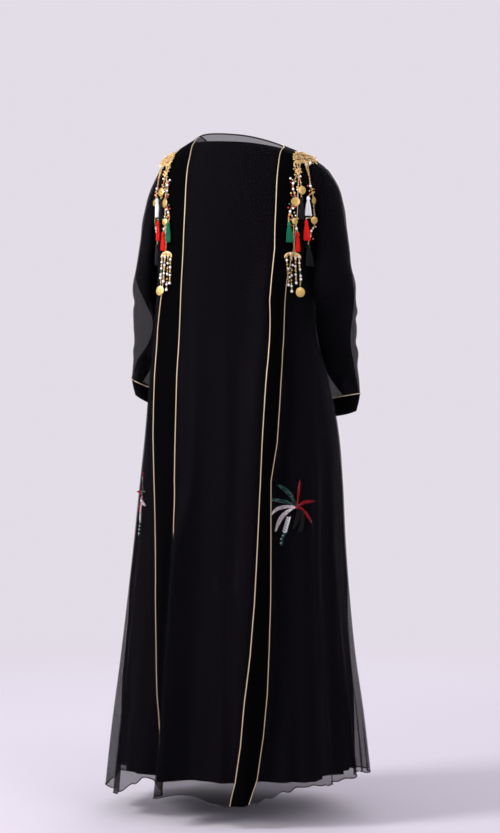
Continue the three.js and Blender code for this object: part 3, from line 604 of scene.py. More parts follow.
# The lining's room in the sleeve: from its edges in millimetres, and as a share of its depth.
CORE_GAP, CORE_RISE, CORE_DEPTH = 2.6, 3, 0.94


def ring_point(side, row, turn):
    out_x, out_z, in_x, in_z, y, deep = row
    out, inner = Vector((side * out_x, y, out_z)), Vector((side * in_x, y, in_z))
    centre = (out + inner) / 2
    lean = Vector((-side * LEAN, 1, 0)).normalized()
    return centre + (out - centre) * math.sin(turn) + lean * deep * math.cos(turn)


def side_x(side, y, z):
    """How far out the body's side is at a depth and a height."""
    low, high = 0.0, float(LAST)
    for _ in range(HALVINGS):
        t = (low + high) / 2
        if body_height(side * 90, row_at(t)) > z:
            low = t
        else:
            high = t
    half, behind, ahead, middle, shift, square = row_at(low)[3:]
    away = min(1, abs((y - middle) / (behind if y > middle else ahead)))
    return side * shift + half * (1 - away ** square) ** (1 / square)


def armhole_ring(side, share, out, turn):
    y = (ARMHOLE["half_depth"] * share - SEAM - SLEEVE_EASE) * math.cos(turn)
    z = ARMHOLE[side] - ARMHOLE["half_height"] \
        + (ARMHOLE["half_height"] * share - SEAM - SLEEVE_EASE) * math.sin(turn)
    return Vector((side * (side_x(side, y, z) + out), y, z))


def sleeve_cloth(side, heads, rows, around, down, creased):
    """A tube of cloth through the armhole rings and then the arm's."""
    lines = []
    for k in range(around):
        turn = -side * 2 * math.pi * k / around
        lines.append([armhole_ring(side, *head, turn) for head in heads]
                     + [ring_point(side, row, turn) for row in rows])
    count = len(lines[0])

    def place(u, v):
        k = round(u * around) % around
        at = v * (count - 1)
        i = min(count - 2, int(at))
        spot = between(*four_around(lines[k], i), at - i)
        if creased:
            turn = 2 * math.pi * k / around
            push = sum(depth * math.exp(-((at - len(heads) - ring - slant * math.sin(turn + ring))
                                          / half) ** 2) for ring, slant, half, depth
                       in SLEEVE_CREASES)
            middle = sum((lines[n][i] for n in range(0, around, 8)), Vector()) / (around / 8)
            away = spot - middle
            away.z *= FLATTENED
            spot = spot + away.normalized() * push * smooth(clamp(at - HEAD_FLAT)) \
                * smooth(clamp((count - 1 - at) / WRIST_FLAT))
        return spot

    bm = surface(around, down, place)
    bmesh.ops.remove_doubles(bm, verts=bm.verts, dist=1e-6)
    bmesh.ops.recalc_face_normals(bm, faces=bm.faces)
    wrist = sum((line[-1] for line in lines), Vector()) / around * MM
    look_out(bm, wrist, [f for f in bm.faces
                         if (f.calc_center_median() - wrist).length < WRIST_REACH])
    return bm


gathered_chiffon = finish("gathered_black_chiffon", CHIFFON_GLOSS,
                          lambda dye: chiffon_dress(dye, 0.45))
sleeves, sleeve_linings = {}, {}
for hand, name in SIDES:
    rings = SLEEVE[hand]
    sleeves[name] = piece(
        sleeve_cloth(hand, ((1, -0.5), (1, 3)), rings, 72, 130, True),
        "chiffon_sleeve_" + name, [gathered_chiffon], ["sleeve_" + name], CHIFFON_WALL)
    core = [(CORE_OUTER[hand].get(i, a - CORE_GAP), b - CORE_GAP,
             CORE_INNER[hand].get(i, c + CORE_GAP), d + CORE_RISE, y, deep * CORE_DEPTH)
            for i, (a, b, c, d, y, deep) in enumerate(rings)]
    sleeve_linings[name] = piece(
        sleeve_cloth(hand, ((LINING_ARMHOLE, -13), (0.93, 0)), core, 48, 80, False),
        "sleeve_lining_cloth_" + name, [lining], ["sleeve_lining_" + name], CHIFFON_WALL)
    "sleeve_lining_" + name

# ---- Velvet cuffs --------------------------------------------------------------------------
# A short tube of black velvet closes each sleeve, edged where it meets the chiffon with a
# twisted gold cord.

VELVET_WALL, PIPING = 1.6, 1.0
# The cuff's share of its place, its ease round the arm, how it swells, and the cord's ease.
CUFF_LENGTH, CUFF_EASE, CUFF_SWELL, CORD_EASE = 0.98, 0.4, 0.8, 0.9
CUFF_END = {1: (308, -552, 271, -573, -148, 23), -1: (217, -590, 170, -602, -146, 24)}


def velvet_dress(dye):
    nap = dye.noise(55, 4, 0.6, (1, 1, 0.25))
    pile = dye.noise(1400, 2, 0.7)
    return {"Base Color": dye.colours(nap, (0.0004, 0.0003, 0.0005), (0.0016, 0.0014, 0.0019)),
            "Roughness": nap * 0.25 + 0.65,
            "Normal": bumped(dye, pile, 0.0008, 0.7)}


velvet = finish("black_velvet", {"Sheen Weight": 0.02, "Sheen Roughness": 0.25,
                                 "Specular IOR Level": 0.01}, velvet_dress)


def gold_cord_dress(dye):
    thread = dye.noise(700, 3)
    return {"Base Color": dye.colours(thread, (0.42, 0.30, 0.16), (0.78, 0.66, 0.46)),
            "Roughness": thread * 0.25 + 0.32,
            "Normal": bumped(dye, thread, 0.0003, 0.5)}


gold_cord = finish("pale_gold_cord", {"Metallic": 0.55, "Coat Weight": 0.1}, gold_cord_dress)
# One turn of the cord's three strands, and how deep the grooves between them are.
TWIST, TWIST_DEPTH = 9.0, 0.12
for hand, name in SIDES:
    wrist, end = SLEEVE[hand][-1], CUFF_END[hand]

    def cuff_point(turn, share, out):
        top, low = ring_point(hand, wrist, turn), ring_point(hand, end, turn)
        way = (low - top).normalized()
        hub = (ring_point(hand, wrist, 0) + ring_point(hand, wrist, math.pi)) / 2
        away = (top - hub) - way * (top - hub).dot(way)
        return top + way * 2 * SEAM + (low - top) * share * CUFF_LENGTH + away.normalized() * out

    def cuff_cloth(u, v):
        turn = 2 * math.pi * u
        return cuff_point(turn, v, CUFF_EASE + math.sin(math.pi * v) * CUFF_SWELL)

    bm = surface(72, 18, cuff_cloth)
    bmesh.ops.remove_doubles(bm, verts=bm.verts, dist=1e-6)
    look_out(bm, sum((v.co for v in bm.verts), Vector()) / len(bm.verts), bm.faces)
    piece(bm, "velvet_cuff_" + name, [velvet], ["cuff_" + name],
                        VELVET_WALL)
    "sleeve_" + name
    ring = [cuff_point(2 * math.pi * k / 200, 0.02, PIPING + CORD_EASE) for k in range(200)]
    piece(tube(ring, PIPING, 10, 3, TWIST, TWIST_DEPTH, True), "gold_cord_cuff_" + name,
          [gold_cord], ["cuff_piping_" + name])

# ---- Velvet bands and their gold cord ------------------------------------------------------
# Two long bands of black velvet are laid down the back from the shoulders to the hem, each
# between a pair of twisted gold cords that hide the stitching.

# Beyond the cloth: the band, and the cord beside its edge. Where the outer cords start.
BAND_LIFT, CORD_ASIDE, OUTER_START = 0.3, 0.6, 1.6
for hand, name in SIDES:
    def edge_angle(t, edge):
        height = body_point(hand * 30, t).z
        return angle_of(hand * look_up(BANDS[hand], height, edge + 1), t)

    def band_point(u, v):
        t = row_share(v)
        outer, inner = edge_angle(t, 1), edge_angle(t, 0)
        angle = outer + (inner - outer) * u
        return body_point(angle, t) + outwards(angle, t) * (VELVET_WALL + BAND_LIFT)

    piece(surface(14, 260, band_point, of_body), "velvet_band_" + name, [velvet],
                        ["band_" + name], VELVET_WALL)
    for edge, inner in (("inner", True), ("outer", False)):
        away = -hand if inner else hand
        path = []
        for t in steps(0 if inner else OUTER_START, LAST - 0.01, 900):
            angle = edge_angle(t, 0 if inner else 1)
            foot = body_point(angle, t)
            beside = body_point(angle + away, t)
            slide = (beside - foot).normalized() * (PIPING + CORD_ASIDE)
            path.append(foot + slide + outwards(angle, t) * (PIPING + CORD_EASE))
        piece(tube(path, PIPING, 9, 3, TWIST, TWIST_DEPTH), f"gold_cord_{name}_{edge}", [gold_cord],
              [f"piping_{name}_{edge}"])

# ---- Gold filigree over each shoulder ------------------------------------------------------
# A cast and pierced spray of gilt flowers, leaves and wire scrolls is sewn on where the outer
# cord ends. Two pearls are set under it, and the hanging strands are hooked to its lower edge.

# How far the ornaments hang off the back, and how much higher the left one sits.
LIFT = 5.9
DROP = {1: 6, -1: 0}
# From where, in millimetres, the cloth is looked for, first by a ray and then by nearness.
RAY_FROM, NEAR_FROM = 900, 40
GILT, PEARL, RED_GLASS, GREEN_GLASS = range(4)


def on_back(x, z, height=0.0, turn=0.0):
    """A place this far above the cloth, looked for across the back, and the way out there."""
    away = Vector((math.sin(turn), math.cos(turn), 0))
    start = Vector((math.cos(turn), -math.sin(turn), 0)) * x + Vector((0, 0, z))
    spot, normal, *_ = back_tree.ray_cast((start + away * RAY_FROM) * MM, -away)
    if not spot:
        spot, normal, *_ = back_tree.find_nearest((start + away * NEAR_FROM) * MM)
    return spot / MM + normal * height, normal


def placer(hand):
    """Finds the places of one ornament: across, height and how far off the back."""
    return lambda x, z, height=LIFT: on_back(hand * x, z + DROP[hand], height)


def form(make):
    """A small shape one unit in radius, kept as a mesh and laid down many times."""
    bm = fresh()
    make(bm)
    bmesh.ops.recalc_face_normals(bm, faces=bm.faces)
    mesh = bpy.data.meshes.new("form")
    bm.to_mesh(mesh)
    bm.free()
    return mesh


def lay(bm, shape, spot, size, index=GILT, way=None, spin=0.0):
    """Adds a copy of a form, its top looking along way and turned by spin about it."""
    turn = (way or Vector((0, 0, 1))).to_track_quat("Z", "Y").to_matrix().to_4x4()
    sizes = size if hasattr(size, "__len__") else (size,) * 3
    copy = shape.copy()
    copy.transform(Matrix.Translation(spot * MM) @ turn @ Matrix.Rotation(spin, 4, "Z")
                   @ Matrix.Diagonal((*(s * MM for s in sizes), 1)))
    copy.polygons.foreach_set("material_index", [index] * len(copy.polygons))
    bm.from_mesh(copy)
    bpy.data.meshes.remove(copy)


def wire(bm, points, radius, index=GILT, sides=6):
    """A wire or thread through a few points, smoothed between them."""
    join(bm, tube(smoothed(points, 4), radius, sides), index)


round_bead = form(lambda bm: bmesh.ops.create_icosphere(bm, subdivisions=2, radius=1))
seed_bead = form(lambda bm: bmesh.ops.create_icosphere(bm, subdivisions=1, radius=1))


def link_shape(bm):
    """An oval chain link, longer along its Y."""
    part = tube([Vector((0.62 * math.cos(a), math.sin(a), 0)) for a in
                 (2 * math.pi * k / 10 for k in range(10))], 0.2, 5, ring=True)
    part.transform(Matrix.Scale(1 / MM, 4))
    join(bm, part)


chain_link = form(link_shape)


def gilt_dress(dye):
    wear = dye.noise(260, 4, 0.6)
    return {"Base Color": dye.colours(wear, (0.60, 0.37, 0.12), (0.95, 0.72, 0.34)),
            "Roughness": wear * 0.3 + 0.2,
            "Normal": bumped(dye, dye.noise(900, 2), 0.0002, 0.6)}


def pearl_dress(dye):
    cloud = dye.noise(180, 2)
    return {"Base Color": dye.colours(cloud, (0.90, 0.84, 0.78), (1.0, 0.98, 0.97)),
            "Roughness": cloud * 0.12 + 0.14}


def glass(name, dark, bright):
    return finish(name, {"Coat Weight": 0.6, "Coat Roughness": 0.05}, lambda dye: {
        "Base Color": dye.colours(dye.noise(500, 2), dark, bright),
        "Roughness": dye.noise(900) * 0.2 + 0.1})


gilt = finish("worn_gilt", {"Metallic": 0.6}, gilt_dress)
pearl = finish("pearl", {"Coat Weight": 0.5, "Coat Roughness": 0.08}, pearl_dress)
red_glass = glass("red_glass", (0.42, 0.01, 0.012), (0.75, 0.03, 0.03))
green_glass = glass("green_glass", (0.002, 0.09, 0.045), (0.01, 0.22, 0.11))
jewels = [gilt, pearl, red_glass, green_glass]

# The filigree's flowers: across, height and radius, then leaves: across, height, way, length.
FLOWERS = ((136, -40, 5.2), (148, -42, 5.6), (161, -46, 5.6), (170, -55, 5), (156, -61, 5.4),
           (142, -62, 5.6), (149, -52, 4.2), (163, -57, 3.6), (139, -51, 3.6), (142, -36, 3.2),
           (155, -50, 3.4), (166, -50, 3.2), (144, -48, 3), (155, -41, 3), (133, -45, 3),
           (150, -60, 3.2), (164, -62, 3), (172, -49, 3))
LEAVES = ((136, -48, 200, 4.5), (142, -36, 100, 5), (154, -38, 80, 5.5), (167, -43, 40, 6),
          (174, -52, 10, 5), (173, -60, -50, 5), (164, -63, -80, 5), (149, -64, -100, 5),
          (138, -56, 190, 4), (139, -66, -110, 5), (157, -52, 60, 5))
# The pierced ground behind them: across, and the top and foot of each column of small rings.
GROUND = ((134, -37, -48), (137, -35, -52), (140, -34, -60), (143, -34, -63), (146, -35, -64),
          (149, -36, -61), (152, -37, -58), (155, -38, -62), (158, -40, -64), (161, -42, -65),
          (164, -45, -65), (167, -48, -64), (170, -50, -62), (173, -52, -60))


def blossom(bm, spot, normal, radius, petals=6):
    lay(bm, round_bead, spot + normal * radius * 0.25, radius * 0.3)
    side = normal.cross(Vector((0, 0, 1))).normalized()
    up = side.cross(normal)
    for k in range(petals):
        a = 2 * math.pi * k / petals + 0.3
        way = side * math.cos(a) + up * math.sin(a)
        lay(bm, round_bead, spot + way * radius * 0.6,
            (radius * 0.42, radius * 0.24, radius * 0.16), GILT,
            normal, math.atan2(way.z, way.x) if abs(normal.z) < 0.99 else a)
        lay(bm, seed_bead, spot + way * radius * 0.98 + normal * 0.3, radius * 0.12)


for hand, name in SIDES:
    bm, at = fresh(), placer(hand)
    for x, z, radius in FLOWERS:
        blossom(bm, *at(x, z, 5), radius)
    for x, z, way, length in LEAVES:
        spot, normal = at(x, z, 4.4)
        tip = at(x + length * math.cos(math.radians(way)), z + length * math.sin(math.radians(way)),
                 4.4)[0]
        root = at(x - length * math.cos(math.radians(way)) * 0.7,
                  z - length * math.sin(math.radians(way)) * 0.7, 5)[0]
        wire(bm, [root, spot + normal, tip], 0.55)
        lay(bm, round_bead, (spot + tip) / 2, (length * 0.3, length * 0.62, 0.9), GILT,
            normal, math.radians(hand * (90 - way)))
    ring = [p[:2] for p in FLOWERS[:6]]
    for (x, z), (ahead_x, ahead_z) in zip(ring, ring[1:] + ring[:1]):
        middle = at((x + ahead_x) / 2 + (z - ahead_z) * 0.25, (z + ahead_z) / 2
                    + (ahead_x - x) * 0.25, 6)[0]
        wire(bm, [at(x, z, 5)[0], middle, at(ahead_x, ahead_z, 5)[0]], 0.7)
        wire(bm, [at(x, z, 4)[0], at((x + ahead_x) / 2, (z + ahead_z) / 2, 4.6)[0],
                  at(ahead_x, ahead_z, 4)[0]], 0.5)
    for x, high, low in GROUND:
        rings = round((high - low) / 2.9)
        for k in range(rings + 1):
            lay(bm, round_bead, at(x, high + (low - high) * k / rings, 3.4 + (k % 2) * 0.6)[0],
                (1.5, 1.1, 1.3))
    for x, z in ((165, -64), (159, -67)):
        lay(bm, round_bead, at(x, z, 6)[0], 3.1, PEARL)
    for x, z in ((145, -57), (152, -47), (167, -50)):
        lay(bm, round_bead, at(x, z, 7)[0], 1.2, RED_GLASS)
    piece(bm, "gilt_filigree_" + name, jewels, ["epaulette_" + name])

# ---- Chains, pearls and glass beads --------------------------------------------------------
# Fine gilt chains hang from the filigree and carry pearls, red and green glass and a gilt
# flower. Side branches end in the tassels, and the lower end of the inner one in a crescent.

# Each stop of a chain is across, height, bead radius, what it is made of and extra lift.
INNER = (((142.3, -66.4, 0, GILT, 3.8), (146, -83, 0, GILT, 0), (139, -108, 3, PEARL, 0),
          (139, -120, 2.6, PEARL, 0), (143, -145, 0, GILT, 0), (134, -168, 2.8, PEARL, 0),
          (141, -188, 0, GILT, 0), (144, -203, 3, PEARL, 0), (144, -210.1, 1.2, GILT, 2.8)),
         ((147, -84, 0, GILT, 0), (154, -120, 0, GILT, 0), (153.5, -132, 0, GILT, 0),
          (153, -136.1, 1.2, GILT, 2.8)),
         ((134, -168, 0, GILT, 0), (131, -178, 1.8, RED_GLASS, 0), (131, -190.1, 1.2, GILT, 2.8)),
         ((137, -66, 0, GILT, 2), (140, -76, 0, GILT, 1), (146, -83, 0, GILT, 0)))
OUTER = (((156.3, -64.8, 0, GILT, 3.8), (161, -76, 1.6, GILT, 0), (166, -92, 1.5, RED_GLASS, 0),
          (169, -112, 3, PEARL, 0), (172, -126, 2.6, GILT, 0), (173, -142, 0, GILT, 0),
          (173, -190, 1.6, RED_GLASS, 0), (168, -206, 2.8, PEARL, 0), (166, -217, 2.4, PEARL, 0),
          (163, -226, 1.6, GILT, 1), (161, -234.1, 1.2, GILT, 2.8)),
         ((171, -126, 0, GILT, 0), (164, -134.1, 1.2, GILT, 2.8)),
         ((173, -178, 0, GILT, 0), (162, -180, 1.5, PEARL, 0), (160, -184.1, 1.2, GILT, 2.8)),
         ((161, -68, 0, GILT, 2), (165, -84, 0, GILT, 0), (169, -112, 0, GILT, 0)))
# Loose beads beside the chains: across, height, radius and what they are made of.
BESIDE_INNER = (
    (141, -72, 1.7, GILT), (138, -78, 1.5, GILT), (150, -77, 1.7, GILT), (145, -73, 1.5, GILT),
    (152, -84, 1.8, GILT), (141, -90, 2, GILT), (147, -95, 1.8, GILT), (137, -101, 1.8, GILT),
    (152, -106, 2, GILT), (143, -104, 1.7, GILT), (146, -121, 2, PEARL), (142, -128, 2, GILT),
    (144, -134, 1.8, RED_GLASS), (135, -129, 2, GILT), (141, -170, 2, GILT),
    (143, -176, 1.8, PEARL), (135, -185, 1.8, GILT), (147, -182, 1.8, GILT),
    (136, -197, 1.8, RED_GLASS), (143, -158, 1.8, RED_GLASS), (133, -98, 2.4, PEARL),
    (151, -93, 2.2, PEARL), (149, -102, 1.6, RED_GLASS), (134, -106, 1.5, RED_GLASS),
    (148, -110, 1.8, GILT), (137, -114, 1.6, RED_GLASS), (146, -116, 2, GILT),
    (136, -134, 1.7, RED_GLASS), (139, -137, 1.6, GREEN_GLASS), (132, -152, 1.9, GREEN_GLASS),
    (136, -155, 1.9, RED_GLASS), (130, -160, 1.9, RED_GLASS), (139, -161, 2.5, PEARL),
    (132, -175, 2, GILT), (137, -177, 1.8, GILT),
)
BESIDE_OUTER = (
    (160, -72, 1.6, GILT), (163, -80, 1.3, GILT), (168, -100, 1.4, GREEN_GLASS),
    (172, -118, 1.8, GILT), (168, -128, 1.8, RED_GLASS), (170, -200, 2, PEARL),
    (164, -112, 1.9, RED_GLASS), (175, -118, 1.4, RED_GLASS), (167, -122, 1.8, GILT),
    (174, -124, 1.8, GILT), (174, -171, 1.6, GILT), (174, -196, 1.6, PEARL),
    (165, -212, 1.4, GILT), (169, -222, 1.5, GILT),
)
# Half a link's length, and how far on the next one is laid as a share of it.
LINK, LINK_STEP = 1.9, 1.45


def chain(bm, stops, at):
    """Links along a smooth line through the stops, every other one on edge, with its beads."""
    points = [at(x, z, LIFT + lift)[0] for x, z, _, _, lift in stops]
    fine = smoothed(points, 12)
    run, laid, count = 0.0, 0.0, 0
    for here, ahead in zip(fine, fine[1:]):
        run += (ahead - here).length
        while laid < run:
            way = (ahead - here).normalized()
            face = Vector((0, 1, 0)) - way * way.y
            if count % 2:
                face = face.cross(way)
            turn = Matrix((face.cross(way).normalized() * -1, way, face.normalized())).transposed()
            copy = chain_link.copy()
            copy.transform(Matrix.Translation(here * MM) @ turn.to_4x4()
                           @ Matrix.Scale(LINK * MM, 4))
            bm.from_mesh(copy)
            bpy.data.meshes.remove(copy)
            laid += LINK * LINK_STEP
            count += 1
    for (x, z, radius, index, lift), spot in zip(stops, points):
        if radius:
            lay(bm, round_bead, spot + Vector((0, max(0, radius - 1.2), 0)), radius, index)


for hand, name in SIDES:
    at = placer(hand)
    for label, lines, beside in (("inner", INNER, BESIDE_INNER), ("outer", OUTER, BESIDE_OUTER)):
        bm = fresh()
        for stops in lines:
            chain(bm, stops, at)
        for x, z, radius, index in beside:
            lay(bm, round_bead, at(x, z, LIFT + radius * 0.4)[0], radius, index)
        if label == "inner":
            blossom(bm, *at(146, -83, LIFT + 1.5), 7, 8)
            lay(bm, round_bead, at(146, -83, LIFT + 4)[0], 1.8, RED_GLASS)
        piece(bm, f"gilt_chain_{label}_{name}", jewels, [f"strand_{label}_{name}"])

# ---- Stamped coins -------------------------------------------------------------------------
# Thin gilt discs with a beaded rim and a plain rosette, hung by a ring from the chains. They
# carry no lettering and no head.


def coin_shape(bm):
    bmesh.ops.create_cone(bm, cap_ends=True, segments=48, radius1=1, radius2=1, depth=0.13)
    bmesh.ops.bevel(bm, geom=[e for e in bm.edges if len(e.link_faces) == 2 and
                              e.calc_face_angle(0) > 1], offset=0.03, segments=2, profile=0.5,
                    material=-1, affect="EDGES")
    for face in (1, -1):
        top = Matrix.Translation((0, 0, face * 0.065))
        for k in range(28):
            a = 2 * math.pi * k / 28
            bmesh.ops.create_icosphere(bm, subdivisions=1, radius=0.06, matrix=top
                                       @ Matrix.Translation((0.87 * math.cos(a),
                                                             0.87 * math.sin(a), 0)))
        for k in range(8):
            petal = Matrix.Rotation(2 * math.pi * k / 8, 4, "Z") @ Matrix.Translation((0.4, 0, 0)) \
                @ Matrix.Diagonal((0.27, 0.11, 0.07, 1))
            bmesh.ops.create_icosphere(bm, subdivisions=2, radius=1, matrix=top @ petal)
        bmesh.ops.create_icosphere(bm, subdivisions=2, radius=0.13, matrix=top)
    bmesh.ops.create_cone(bm, cap_ends=True, segments=12, radius1=0.1, radius2=0.1, depth=0.16,
                          matrix=Matrix.Translation((0, 1.05, 0)))


coin_form = form(coin_shape)
coin_gilt = finish("coin_gilt", {"Metallic": 0.8}, lambda dye: {
    "Base Color": dye.colours(dye.noise(240, 4, 0.7) ** 1.6,
                              (0.34, 0.20, 0.05), (0.88, 0.64, 0.26)),
    "Roughness": dye.noise(260) * 0.3 + 0.2,
    "Normal": bumped(dye, dye.noise(500, 3), 0.0004, 0.8)})
# Across, height, radius and tilt of each coin.
COINS = ((154, -122, 9, 0.12), (143, -147, 9.5, -0.1), (141, -188, 7, 0.15), (173, -142, 7.5, 0.3),
         (172, -183, 8, -0.3), (148, -338, 10.5, 0.04))
for hand, name in SIDES:
    for k, (x, z, radius, tilt) in enumerate(COINS, 1):
        bm = fresh()
        spot, normal = on_back(hand * x, z + DROP[hand], LIFT + 2.2)
        facing = Matrix.Rotation(tilt, 3, "Z") @ normal
        lay(bm, coin_form, spot, radius, GILT, facing)
        piece(bm, f"gilt_coin_{name}_{k}", [coin_gilt], [f"coin_{name}_{k}"])

# ---- Crescent with pearl drops -------------------------------------------------------------
# A pierced gilt crescent hangs at the foot of the inner chain, with four drops of pearls and
# gilt beads below it and a larger coin on the last one.

DROPS = ((125, -262, 126, -322), (131, -256, 134, -336), (139, -256, 142, -318),
         (147, -262, 149, -310))
for hand, name in SIDES:
    bm, at = fresh(), placer(hand)
    for radius, fat in ((14.5, 2.4), (11, 1.1)):
        for k in range(15):
            a = math.radians(8 + 164 * k / 14)
            share = math.sin(math.pi * (k + 0.6) / 15.2)
            spot, normal = at(136 + radius * math.cos(a) * 0.95, -266 + radius * math.sin(a) * 0.85)
            lay(bm, round_bead, spot + normal * 0.5, (fat * (0.5 + share), fat * 0.8,
                                                     fat * 0.5), GILT, normal)
            if k % 2:
                lay(bm, seed_bead, spot + normal * 1.8, 0.6)
    for x, z in ((131, -262), (141, -262), (136, -259)):
        blossom(bm, *at(x, z, LIFT + 0.8), 3.6, 6)
    chain(bm, ((139, -254, 0, GILT, 0), (137.5, -230, 0, GILT, 0), (139.6, -194, 0, GILT, 0)), at)
    chain(bm, ((149, -310, 0, GILT, 0), (148, -326, 0, GILT, 0)), at)
    for line, (x, z, end, low) in enumerate(DROPS):
        chain(bm, ((x, z, 0, GILT, 0), (end, low, 0, GILT, 0)), at)
        count = 7
        for k in range(count + 1):
            share = k / count
            spot = at(x + (end - x) * share, z + (low - z) * share, LIFT + 0.6)[0]
            index = PEARL if (k + line) % 2 or k == count else (GREEN_GLASS if line == 3 and k > 4
                                                               else GILT)
            lay(bm, round_bead, spot, 3.2 if k == count else 2.7 if index == PEARL else 1.9, index)
    piece(bm, "gilt_crescent_" + name, jewels, ["crescent_" + name])

# ---- Tassels -------------------------------------------------------------------------------
# Viscose threads in white, black, green and red, bound under a small wrapped head and cut
# straight at the foot.


def thread(name, dark, bright):
    return finish(name, {"Sheen Weight": 0.05, "Specular IOR Level": 0.15}, lambda dye: {
        "Base Color": dye.colours(dye.noise(500, 3, 0.6, (1, 1, 0.05)), dark, bright),
        "Roughness": dye.noise(300) * 0.2 + 0.5})


THREADS = {"white": thread("white_thread", (0.92, 0.91, 0.92), (1.0, 1.0, 1.0)),
           "black": thread("black_thread", (0.003, 0.003, 0.005), (0.012, 0.012, 0.017)),
           "green": thread("green_thread", (0.0005, 0.10, 0.045), (0.003, 0.26, 0.12)),
           "red": thread("red_thread", (0.60, 0.002, 0.002), (1.0, 0.012, 0.010))}
# Colour, across, height, length and half width at the foot of each tassel.
TASSELS = (("white", 164, -138, 36, 4), ("black", 153, -140, 42, 4), ("green", 131, -194, 38, 4),
           ("red", 144, -214, 36, 4.5), ("red", 160, -188, 38, 3), ("black", 161, -238, 42, 3))
STRANDS = 70
draw = random.Random(5)
for hand, name in SIDES:
    for k, (colour, x, z, length, wide) in enumerate(TASSELS, 1):
        bm, at = fresh(), placer(hand)
        head = at(x, z, LIFT + 2.8)[0]
        for ring in range(5):
            wide_at, up = 2.3 + 0.35 * ring, 2.9 - 1.35 * ring
            turns = [2 * math.pi * n / 16 for n in range(16)]
            join(bm, tube([head + Vector((math.cos(a) * wide_at, math.sin(a) * wide_at, up))
                           for a in turns], 0.75, 5, ring=True))
        lay(bm, round_bead, head + Vector((0, 0, 0.6)), (2.6, 2.6, 3.2), 0)
        for n in range(STRANDS):
            around, reach = draw.uniform(0, 2 * math.pi), math.sqrt(draw.random())
            across, deep = math.cos(around) * reach, math.sin(around) * reach
            foot = at(x + across * (wide + 2), z - length - 1.5 + draw.uniform(0, 2.5),
                      LIFT + 2.4 + deep * 2.6)[0]
            top = head + Vector((across * 2.2 * hand, deep * 2.2, -1.5))
            belly = top.lerp(foot, 0.45) + Vector((across * hand, deep * 0.8, 0)) * 1.2
            wire(bm, [top, belly, foot], 0.42, 0, 4)
        piece(bm, f"thread_tassel_{name}_{k}", [THREADS[colour]],
              [f"tassel_{name}_{k}"])

# ---- Beaded palm sprays --------------------------------------------------------------------
# At each hip a spray of fronds is worked on the chiffon in rows of glass seed beads over a
# raised base of thread: green, red, white and black fronds, and a trunk of silver sequins.

# Where each spray's fronds meet: across, height, and how far round the side it is turned.
HEART = {1: (26, -781, 54), -1: (-4, -794, 48)}
# The way each frond sets out in degrees, its length, half width and droop, and its beads.
FRONDS = ((107, 53, 4.4, 14, "green"), (142, 43, 4, 14, "green"), (84, 57, 1.9, -1, "red"),
          (60, 27, 3.4, -21, "red"), (14, 15, 3, -37, "red"), (159, 37, 3.6, 30, "white"),
          (180, 36, 3.4, 50, "white"), (-58, 43, 3.4, -27, "black"), (-26, 26, 2.6, -44, "black"),
          (-84, 42, 3.4, -13, "black"))
# The trunk's course from the heart, and a frond's half width along its length, as shares.
TRUNK = ((-9, -23), (-14, -33), (-19, -44), (-24, -55), (-28, -66), (-29, -79))
SHAPE = ((0, 0.35), (0.22, 0.7), (0.5, 1), (0.85, 0.85), (1, 0.4))


def sparkle(name, dark, bright):
    # The beads' colour runs at random in small patches from a dark to a bright tone. This is partly
    # their own tone, and the few bright patches are painted sparkle, standing in for highlights.
    return finish(name, {"Specular IOR Level": 0.12}, lambda dye: {
        "Base Color": dye.colours(dye.noise(230, 3, 0.7) ** 2.4, dark, bright),
        "Roughness": dye.noise(800) * 0.3 + 0.3})


BEADS = {"green": sparkle("green_beads", (0.0003, 0.006, 0.005), (0.02, 0.36, 0.27)),
         "red": sparkle("red_beads", (0.14, 0.0005, 0.002), (1.0, 0.02, 0.06)),
         "white": sparkle("white_beads", (0.62, 0.54, 0.57), (1.0, 0.98, 1.0)),
         "black": sparkle("black_beads", (0.0006, 0.0006, 0.0008), (0.02, 0.02, 0.024)),
         "deep_green": sparkle("deep_green_beads", (0.0002, 0.002, 0.002), (0.004, 0.05, 0.04)),
         "deep_red": sparkle("deep_red_beads", (0.03, 0.0003, 0.001), (0.30, 0.003, 0.014)),
         # Grey beads: the white fronds' base and darker beads, and the painted glints laid among
         # the other colours.
         "deep_white": sparkle("grey_beads_and_painted_glints", (0.20, 0.16, 0.17), (0.70, 0.61, 0.64)),
         "deep_black": sparkle("jet_beads", (0.0003, 0.0003, 0.0003), (0.004, 0.004, 0.005))}
# The share of beads in each colour that are laid grey as painted glints, standing in for
# highlights, and up to which share they are plain.
PAINTED_GLINTS = {"green": 0.11, "red": 0.03, "white": 0, "black": 0.01}
PLAIN_SHARE = 0.68
